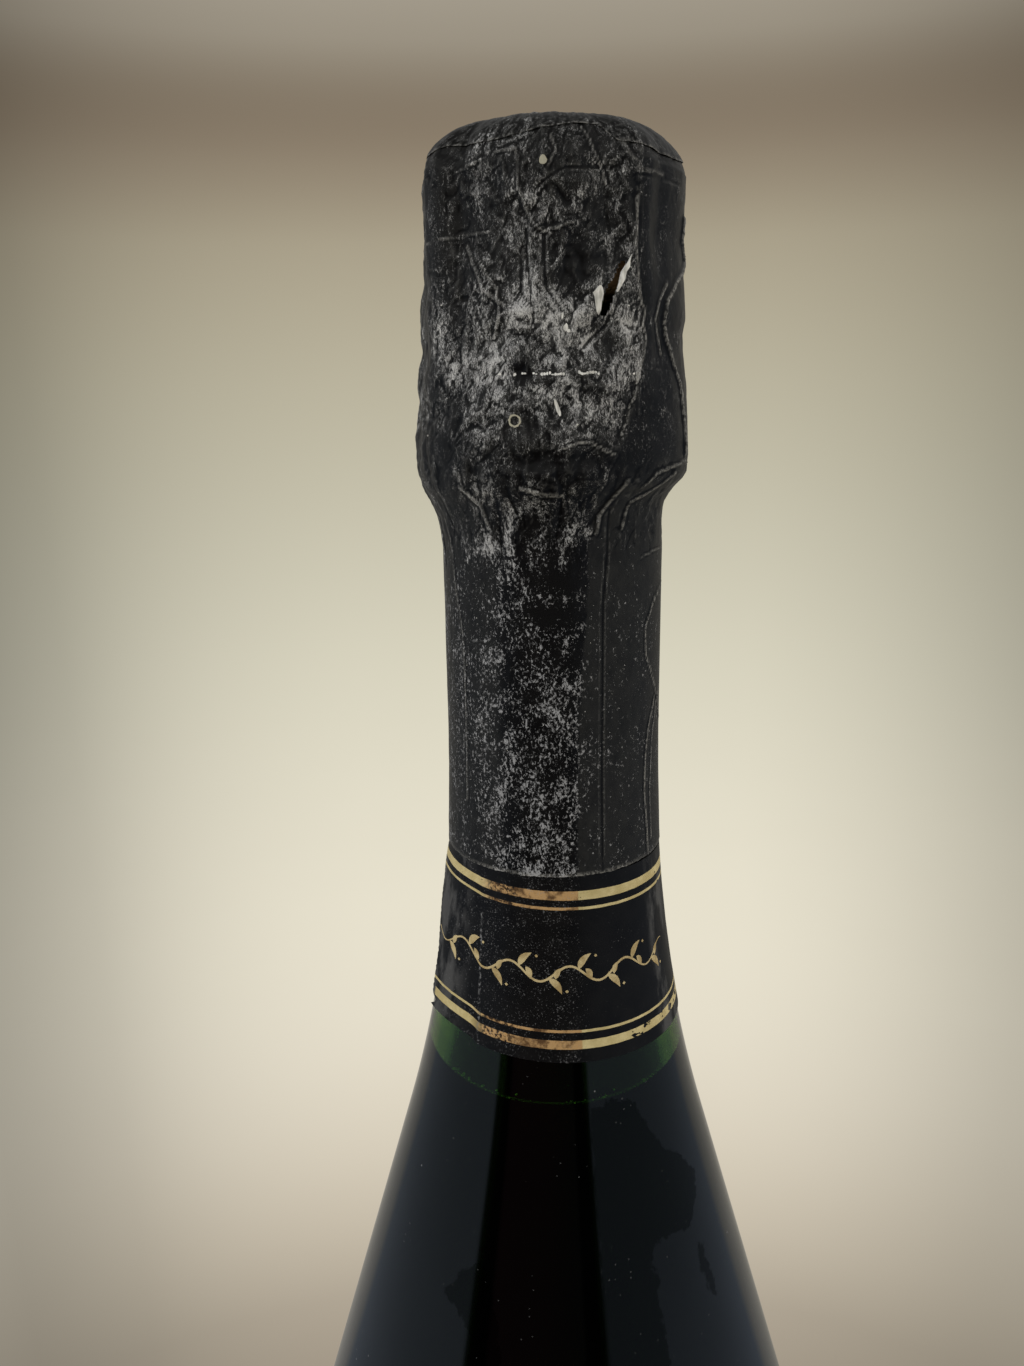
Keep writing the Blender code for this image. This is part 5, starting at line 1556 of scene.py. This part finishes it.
def ring_print():
    """A pale ring where a drop dried: quads round a circle on the foil."""
    middle, height = -14.2, 288.7
    turns = np.arange(22) * 2 * np.pi / 22
    rng = np.random.default_rng(3)
    bits = []
    for turn, following in zip(turns, np.roll(turns, -1)):
        inner, outer = 0.52 + rng.uniform(-0.03, 0.03), 0.72 + rng.uniform(-0.06, 0.05)
        corners = ((inner, turn), (outer, turn), (outer, following), (inner, following))
        bits.append([(
            middle + math.degrees(far * MM * math.cos(at) / RING_RADIUS), height + far * math.sin(at),
        ) for far, at in corners])
    return bits


hood()
skirt()
top_disc()
scraps("torn_lining", [LEFT_TORN_EDGE, RIGHT_TORN_EDGE], "hood", FIBRE, 0.00014)
scraps("hood_flecks", HOOD_FLECKS, "hood", FIBRE, 0.00006)
scraps("cream_dot", CREAM_DOT, "hood", CREAM, 0.00012)
scraps("skirt_flecks", SKIRT_FLECKS, "bottle", FIBRE, 0.00012)
scraps("perforation_threads", perforation_bits(), "bottle", FIBRE, 0.00005)
scraps("dust_crumbs", dust_bits(60, 21), "bottle", FIBRE, 0.00003)
scraps("ring_print", ring_print(), "bottle", CREAM, 0.00003)


# Labels


def label_place(along, height, lift=0.0):
    """Points of the neck label from the angle along it, the height up it in metres, and a lift off it.

    The band hugs the glass and droops to the right, as a straight strip on a cone does. Its left end has come
    loose from a slanted fold: past the fold it stands a step higher, and further off the lower and further
    left it is.
    """
    share = (height - NECK_LABEL_LOW_Z) / NECK_LABEL_HEIGHT
    droop = (0.00069 - 0.00024 * share) * np.clip(along, -1.4, 1.5)
    droop = droop * np.clip((math.pi * 1.5 - along) / 1.2, 0, 1)
    fold = np.radians(mix(NECK_LABEL_FOLD[0], NECK_LABEL_FOLD[1], np.clip(share, 0, 1)))
    low_part = np.clip(1 - share, 0, 1) ** 0.7
    loose = np.clip((fold - along) / math.radians(34), 0, 1.6) * low_part
    step = (1 - np.exp(-np.clip(fold - along, 0, None) / math.radians(4))) * low_part
    level = height - droop + 0.0003 * loose + NECK_LABEL_RISE * step
    crinkle = 0.00007 * facets(along, height, 40, 0.005, 33) * np.clip(loose * 3, 0, 1)
    radius = glass_radius(np.minimum(level, 0.24)) + GLUE_THICKNESS + PAPER_THICKNESS
    radius = radius + NECK_LABEL_LIFT * loose + lift
    waves = 0.00003 * np.abs(swell(along, height, 30, 0.006, 31))
    return around(radius + crinkle + waves, along, level)


def neck_label():
    """The black band round the foot of the neck: label_place at places along it and heights.

    Its loose left end is a little ragged, and torn at the foot.
    """
    rows = np.linspace(NECK_LABEL_LOW_Z, NECK_LABEL_TOP_Z, 64)
    start = np.radians(straight_line(NECK_LABEL_START, rows / MM))
    torn = np.exp(-((rows / MM - 207.4) / 0.55) ** 2)
    start = start + math.radians(4.2) * torn + math.radians(0.35) * np.sin(rows * 9000)
    fine = np.linspace(0, 1, 70)[None, :-1]
    front = start[:, None] + (math.radians(12) - start[:, None]) * fine
    rest = np.broadcast_to(np.linspace(math.radians(12), NECK_LABEL_END, 190)[None], (len(rows), 190))
    along = np.concatenate([front, rest], axis=1)
    height = np.broadcast_to(rows[:, None], along.shape)
    outer = label_place(along, height)
    inner = label_place(along, height, -PAPER_THICKNESS)
    share = (height - NECK_LABEL_LOW_Z) / NECK_LABEL_HEIGHT
    fold_at = np.radians(mix(NECK_LABEL_FOLD[0], NECK_LABEL_FOLD[1], share))
    marks = {
        "up": (height - NECK_LABEL_LOW_Z) / MM + 0.35,
        "along": along * NECK_LABEL_RADIUS / MM,
        "fold": np.exp(-((along - fold_at) / 0.012) ** 2) * (share < 0.75),
    }
    return sheet(
        "neck_band", outer, inner, "bottle", PAPER, ["neck_label"], marks,
        sharp=math.radians(60), joined=False,
    )


def brush_line(line, widths):
    """Both edges of a stroke: a smooth curve through (x, y) points, with half widths set off square to it."""
    line = np.array(line, float)
    at = np.arange(len(line))
    fine = np.linspace(0, len(line) - 1, (len(line) - 1) * 10 + 1)
    step = np.clip(np.floor(fine).astype(int), 0, len(line) - 2)
    share = (fine - step)[:, None]
    slope = np.gradient(line, axis=0)
    a, b, c, d = line[step], line[step + 1], slope[step], slope[step + 1]
    curve = (
        (2 * share**3 - 3 * share**2 + 1) * a + (share**3 - 2 * share**2 + share) * c
        + (3 * share**2 - 2 * share**3) * b + (share**3 - share**2) * d
    )
    ahead = np.gradient(curve, axis=0)
    square = np.stack([-ahead[:, 1], ahead[:, 0]], axis=1) / np.hypot(*ahead.T)[:, None]
    half = np.interp(fine, at, widths)[:, None]
    return curve - square * half, curve + square * half


def leaf(x, y, turn, length, width):
    """A pointed leaf from its stalk end: a stroke that swells and closes."""
    shares = np.linspace(0, 1, 7)
    bow = 0.12 * length * np.sin(np.pi * shares)
    across = x + length * shares * math.cos(turn) - bow * math.sin(turn)
    up = y + length * shares * math.sin(turn) + bow * math.cos(turn)
    return np.stack([across, up], axis=1), width * np.sin(np.pi * shares**0.8) + 0.02


def printed(name, strokes, surface):
    """Gold print: each stroke is a thin raised ribbon on the label, 0.03 mm thick, closed on all sides."""
    points, faces, shift = [], [], 0
    for line, widths in strokes:
        low, high = brush_line(line, widths)
        flat = np.stack([low, high])
        top = surface(flat[..., 0], flat[..., 1], 0.00004)
        under = surface(flat[..., 0], flat[..., 1], 0.00001)
        count = flat.shape[0] * flat.shape[1]
        quads = walled(grid_quads(np.arange(count).reshape(flat.shape[:2])), count)
        faces.append(quads + shift)
        points.append(np.concatenate([top.reshape(-1, 3), under.reshape(-1, 3)]))
        shift += 2 * count
    points = np.concatenate(points)
    return piece(name, points, faces, "bottle", GILT, sharp=math.radians(40))


def vine(start, end, wave, period, leaf_length, thickness):
    """A wavy stem with a leaf and a bud at each bend, as strokes of (x, y) points with widths, in mm."""
    xs = np.linspace(start, end, 60)
    stem = [(x, wave * math.sin(2 * math.pi * x / period)) for x in xs]
    taper = np.interp(xs, (start, start + period, end - period, end), (0.4, 1, 1, 0.3)) * thickness
    strokes = [(stem, taper)]
    for number, x in enumerate(np.arange(start + period * 0.4, end - period * 0.3, period / 2)):
        y = wave * math.sin(2 * math.pi * x / period)
        side = 1 if number % 2 else -1
        strokes.append(leaf(x, y, side * 0.85, leaf_length, leaf_length * 0.17))
        strokes.append(leaf(x + period * 0.12, y, -side * 1.1, leaf_length * 0.62, leaf_length * 0.14))
        bud = (x + period * 0.30, y + side * leaf_length * 0.62)
        strokes.append(([(bud[0] + step, bud[1]) for step in (-0.22, 0, 0.22)], [0.03, 0.22, 0.03]))
    return strokes


def neck_print():
    """A vine across the middle of the neck label, drawn in mm along and up from the label's middle."""
    def surface(x, y, lift):
        """The neck label's points, lifted: x over the label's radius is the angle."""
        return label_place(x * MM / NECK_LABEL_RADIUS, NECK_LABEL_LOW_Z + (12.0 + y) * MM, lift)
    return printed("neck_vine", vine(-20.5, 19.0, 1.10, 8.2, 2.7, 0.15), surface)


def body_label(name, middle, sweep, stands_for):
    """A label at one radius on the straight side of the body: the neck label's gold lines, and a vine."""
    radius = BODY_RADIUS + GLUE_THICKNESS + PAPER_THICKNESS
    heights = np.linspace(BODY_LABEL_LOW_Z, BODY_LABEL_HIGH_Z, 30)
    angles = middle + sweep * np.linspace(-0.5, 0.5, 120)
    angle, height = np.meshgrid(angles, heights)
    outer = around(radius, angle, height)
    inner = around(BODY_RADIUS + GLUE_THICKNESS, angle, height)
    above = (height - heights[0]) / MM
    below = NECK_LABEL_HEIGHT / MM - (heights[-1] - height) / MM
    marks = {
        "up": np.where(above < LINES_WIDTH, above, np.maximum(below, LINES_WIDTH)),
        "along": np.full(angle.shape, CLEAN_PLACE),
        "fold": np.zeros(angle.shape),
    }

    def surface(x, y, lift):
        """The label's points, lifted: x over the body's radius is the angle from the label's middle."""
        return around(radius + lift, middle + x * MM / BODY_RADIUS, y * MM)

    half = sweep * BODY_RADIUS / MM / 2 - VINE_MARGIN
    middle_z = (BODY_LABEL_LOW_Z + BODY_LABEL_HIGH_Z) / 2 / MM
    strokes = []
    for line, widths in vine(-half, half, 5.0, 2 * half / 2.5, 11.0, 0.6):
        strokes.append(([(x, y + middle_z) for x, y in line], widths))
    printed(name + "_vine", strokes, surface)
    return sheet(name, outer, inner, "bottle", PAPER, stands_for, marks, joined=False)


neck_label()
neck_print()
body_label("front_panel", 0, math.radians(140), ["front_label"])
body_label("back_panel", math.pi, math.radians(100), ["back_label"])


# Floor, light and camera

# Tones behind the bottle as the camera sees them: (rise over run from the camera, set to 0 to 1), colour
BACKDROP_TONES = (
    (0.000, (0.235, 0.185, 0.140)), (0.119, (0.410, 0.350, 0.272)), (0.181, (0.570, 0.500, 0.395)),
    (0.250, (0.725, 0.655, 0.530)), (0.325, (0.835, 0.775, 0.640)), (0.400, (0.870, 0.820, 0.672)),
    (0.481, (0.835, 0.790, 0.645)), (0.575, (0.722, 0.688, 0.550)), (0.675, (0.586, 0.556, 0.434)),
    (0.762, (0.496, 0.459, 0.344)), (0.838, (0.410, 0.362, 0.262)), (0.880, (0.270, 0.218, 0.156)),
    (0.912, (0.215, 0.172, 0.122)), (0.940, (0.320, 0.282, 0.220)), (1.000, (0.430, 0.390, 0.320)),
)
# The same from left to right: (sideways over forward run, set to 0 to 1), share of the tone
SIDE_TONES = [(place, (level, level, level)) for place, level in (
    (0.000, 0.330), (0.115, 0.600), (0.192, 0.830), (0.269, 0.945), (0.350, 1), (0.650, 1), (0.731, 0.890),
    (0.808, 0.735), (0.885, 0.560), (0.980, 0.450),
)]
BACKDROP_SPAN = (-1.2, 0.4)
SIDE_SPAN = (-0.65, 0.65)
# What gloss and glass see, by angle round the bottle: (share of the turn from behind, by the left), colour
MIRROR_TONES = (
    (0.000, (0.500, 0.470, 0.400)), (0.050, (0.360, 0.340, 0.295)), (0.090, (0.240, 0.230, 0.205)),
    (0.150, (0.165, 0.163, 0.158)), (0.165, (0.104, 0.118, 0.140)), (0.366, (0.108, 0.124, 0.152)),
    (0.372, (0.003, 0.003, 0.003)), (0.400, (0.003, 0.003, 0.003)), (0.404, (0.020, 0.011, 0.012)),
    (0.485, (0.018, 0.012, 0.012)), (0.540, (0.012, 0.012, 0.011)), (0.544, (0.003, 0.003, 0.003)),
    (0.570, (0.003, 0.003, 0.003)), (0.577, (0.086, 0.099, 0.125)), (0.830, (0.090, 0.104, 0.126)),
    (0.845, (0.145, 0.143, 0.136)), (0.900, (0.200, 0.190, 0.165)), (0.950, (0.330, 0.310, 0.265)),
    (1.000, (0.500, 0.470, 0.400)),
)
HIGH_TONE = (0.25, 0.248, 0.242)
CEILING_TONE = (0.085, 0.084, 0.080)
# Where those tones turn to the high one and that one to the ceiling's: the sine of the angle up
HIGH_SPAN = (0.22, 0.42)
CEILING_SPAN = (0.60, 0.85)
# The backdrop beside the photograph's frame, and where it is plain and patterned: the cosine of the angle off
# the camera's axis
PLAIN_BACKDROP = (0.60, 0.57, 0.49)
FRAME_EDGE = (0.66, 0.768)
CAMERA_AHEAD = (
    -math.sin(CAMERA_YAW) * math.cos(CAMERA_PITCH),
    math.cos(CAMERA_YAW) * math.cos(CAMERA_PITCH),
    -math.sin(CAMERA_PITCH),
)
SOFT_LIGHT = (0.62, 0.60, 0.56)
FLOOR_REACH = 12.0
LAMP_TARGET = (0, 0, 0.25)


def turn_share(n, place):
    """How far round a place or direction lies: from behind (0) by the left, front (half) and right, to 1."""
    x, y, _ = n.node("SeparateXYZ", {0: place}).outputs
    turn = n.math("ARCTAN2", x, n.times(y, -1))
    return n.plus(n.math("DIVIDE", turn, 2 * math.pi), 0.5)


def backdrop(n, from_camera):
    """The tone that the camera sees towards a place: by rise over run, and by sideways over forward run."""
    x, y, z = n.node("SeparateXYZ", {0: from_camera}).outputs
    forward = n.larger(n.math("ABSOLUTE", y), 0.001)
    run = n.math("SQRT", n.plus(n.times(x, x), n.times(forward, forward)))
    rise = n.span(n.math("DIVIDE", z, run), *BACKDROP_SPAN, smooth=False)
    aside = n.span(n.math("DIVIDE", x, forward), *SIDE_SPAN, smooth=False)
    joined = n.node("Mix", data_type="RGBA", blend_type="MULTIPLY")
    n.feed(joined.inputs[0], 1.0)
    n.feed(joined.inputs[6], n.ramp(rise, BACKDROP_TONES, "B_SPLINE"))
    n.feed(joined.inputs[7], n.ramp(aside, SIDE_TONES, "B_SPLINE"))
    toward = n.node("VectorMath", {0: from_camera}, operation="NORMALIZE").outputs["Vector"]
    in_frame = n.node("VectorMath", {0: toward, 1: CAMERA_AHEAD}, operation="DOT_PRODUCT").outputs["Value"]
    return n.blend(n.span(in_frame, *FRAME_EDGE), PLAIN_BACKDROP, joined.outputs[2])


def ray_kinds(n):
    """Two numbers: 1 for the camera's own rays, and 1 for mirrored or refracted rays not yet scattered."""
    path = n.node("LightPath").outputs
    mirror = n.larger(path["Is Glossy Ray"], path["Is Transmission Ray"])
    return path["Is Camera Ray"], n.times(mirror, n.math("LESS_THAN", path["Diffuse Depth"], 0.5))


def studio_world():
    """The background: a pale backdrop that darkens upwards, and what gloss and glass see round the bottle."""
    world = bpy.data.worlds.new("studio_world")
    bpy.context.scene.world = world
    n = Nodes("studio_world", world)
    toward = n.node("TexCoord").outputs["Generated"]
    height = n.node("SeparateXYZ", {0: toward}).outputs["Z"]
    mirrored = n.ramp(turn_share(n, toward), MIRROR_TONES)
    mirrored = n.blend(n.span(height, *HIGH_SPAN), mirrored, HIGH_TONE)
    mirrored = n.blend(n.span(height, *CEILING_SPAN), mirrored, CEILING_TONE)
    camera, mirror = ray_kinds(n)
    shown = n.node("Background", {"Color": n.blend(mirror, backdrop(n, toward), mirrored)})
    soft = n.node("Background", {"Color": SOFT_LIGHT})
    both = n.node("MixShader", {0: n.larger(camera, mirror), 1: soft.outputs[0], 2: shown.outputs[0]})
    n.feed(n.output.inputs["Surface"], both.outputs[0])


def studio_floor():
    """The pale floor: a wide plate that glows with the backdrop's tone, and is partly lit near the bottle."""
    mesh = bpy.data.meshes.new("studio_floor")
    corners = [(x * FLOOR_REACH, y * FLOOR_REACH, 0) for x, y in ((-1, -1), (1, -1), (1, 1), (-1, 1))]
    mesh.from_pydata(corners, [], [(0, 1, 2, 3)])
    floor = placed("studio_floor", mesh)
    n = Nodes("studio_floor")
    distance = n.node("VectorMath", {0: n.place()}, operation="LENGTH").outputs["Value"]
    from_camera = n.place(shift=tuple(-value for value in CAMERA_PLACE))
    camera, mirror = ray_kinds(n)
    tone = n.blend(mirror, backdrop(n, from_camera), n.ramp(turn_share(n, n.place()), MIRROR_TONES))
    glow = n.node("Emission", {"Color": tone})
    n.set(Base_Color=n.mottle(9, 0.3, 0.7, (0.66, 0.62, 0.52), (0.70, 0.66, 0.56)), Roughness=0.9)
    near = n.span(distance, 0.25, 1.2, 0.80, 1.0)
    seen = n.larger(mirror, n.times(camera, near))
    both = n.node("MixShader", {0: seen, 1: n.shader.outputs[0], 2: glow.outputs[0]})
    n.feed(n.output.inputs["Surface"], both.outputs[0])
    mesh.materials.append(n.material)


def aim_along(thing, ahead, roll=0):
    """Turns a lamp or camera so that its -Z axis points ahead, rolled about it."""
    right = np.cross(ahead, (0, 0, 1))
    right /= np.linalg.norm(right)
    up = np.cross(right, ahead)
    rolled_right = math.cos(roll) * right + math.sin(roll) * up
    rolled_up = math.cos(roll) * up - math.sin(roll) * right
    turn = Matrix(np.stack([rolled_right, rolled_up, -ahead], axis=1).tolist())
    thing.rotation_euler = turn.to_euler()


def lamp(name, place, size, power, color):
    """A square soft lamp that points at the bottle's neck."""
    light = bpy.data.lights.new(name, "AREA")
    light.size = size
    light.energy = power
    light.color = color
    holder = placed(name, light)
    holder.location = place
    holder.visible_camera = False
    holder.visible_glossy = False
    holder.visible_transmission = False
    ahead = np.array(LAMP_TARGET) - np.array(place)
    aim_along(holder, ahead / np.linalg.norm(ahead))


def photo_camera():
    """The camera at the photograph's place: close in front of the neck, looking down a little."""
    data = bpy.data.cameras.new("photo_camera")
    data.sensor_width = 36
    data.lens = CAMERA_LENS
    data.clip_start = 0.005
    data.clip_end = 100
    camera = placed("photo_camera", data)
    camera.location = CAMERA_PLACE
    aim_along(camera, np.array(CAMERA_AHEAD), CAMERA_ROLL)
    bpy.context.scene.camera = camera


studio_world()
studio_floor()
lamp("soft_left", (-0.9, -0.6, 0.9), 0.8, 5.0, (0.95, 0.97, 1.0))
lamp("soft_right", (1.0, 0.3, 0.8), 0.6, 5.0, (1.0, 0.96, 0.9))
photo_camera()
bpy.context.scene.view_settings.view_transform = "Standard"
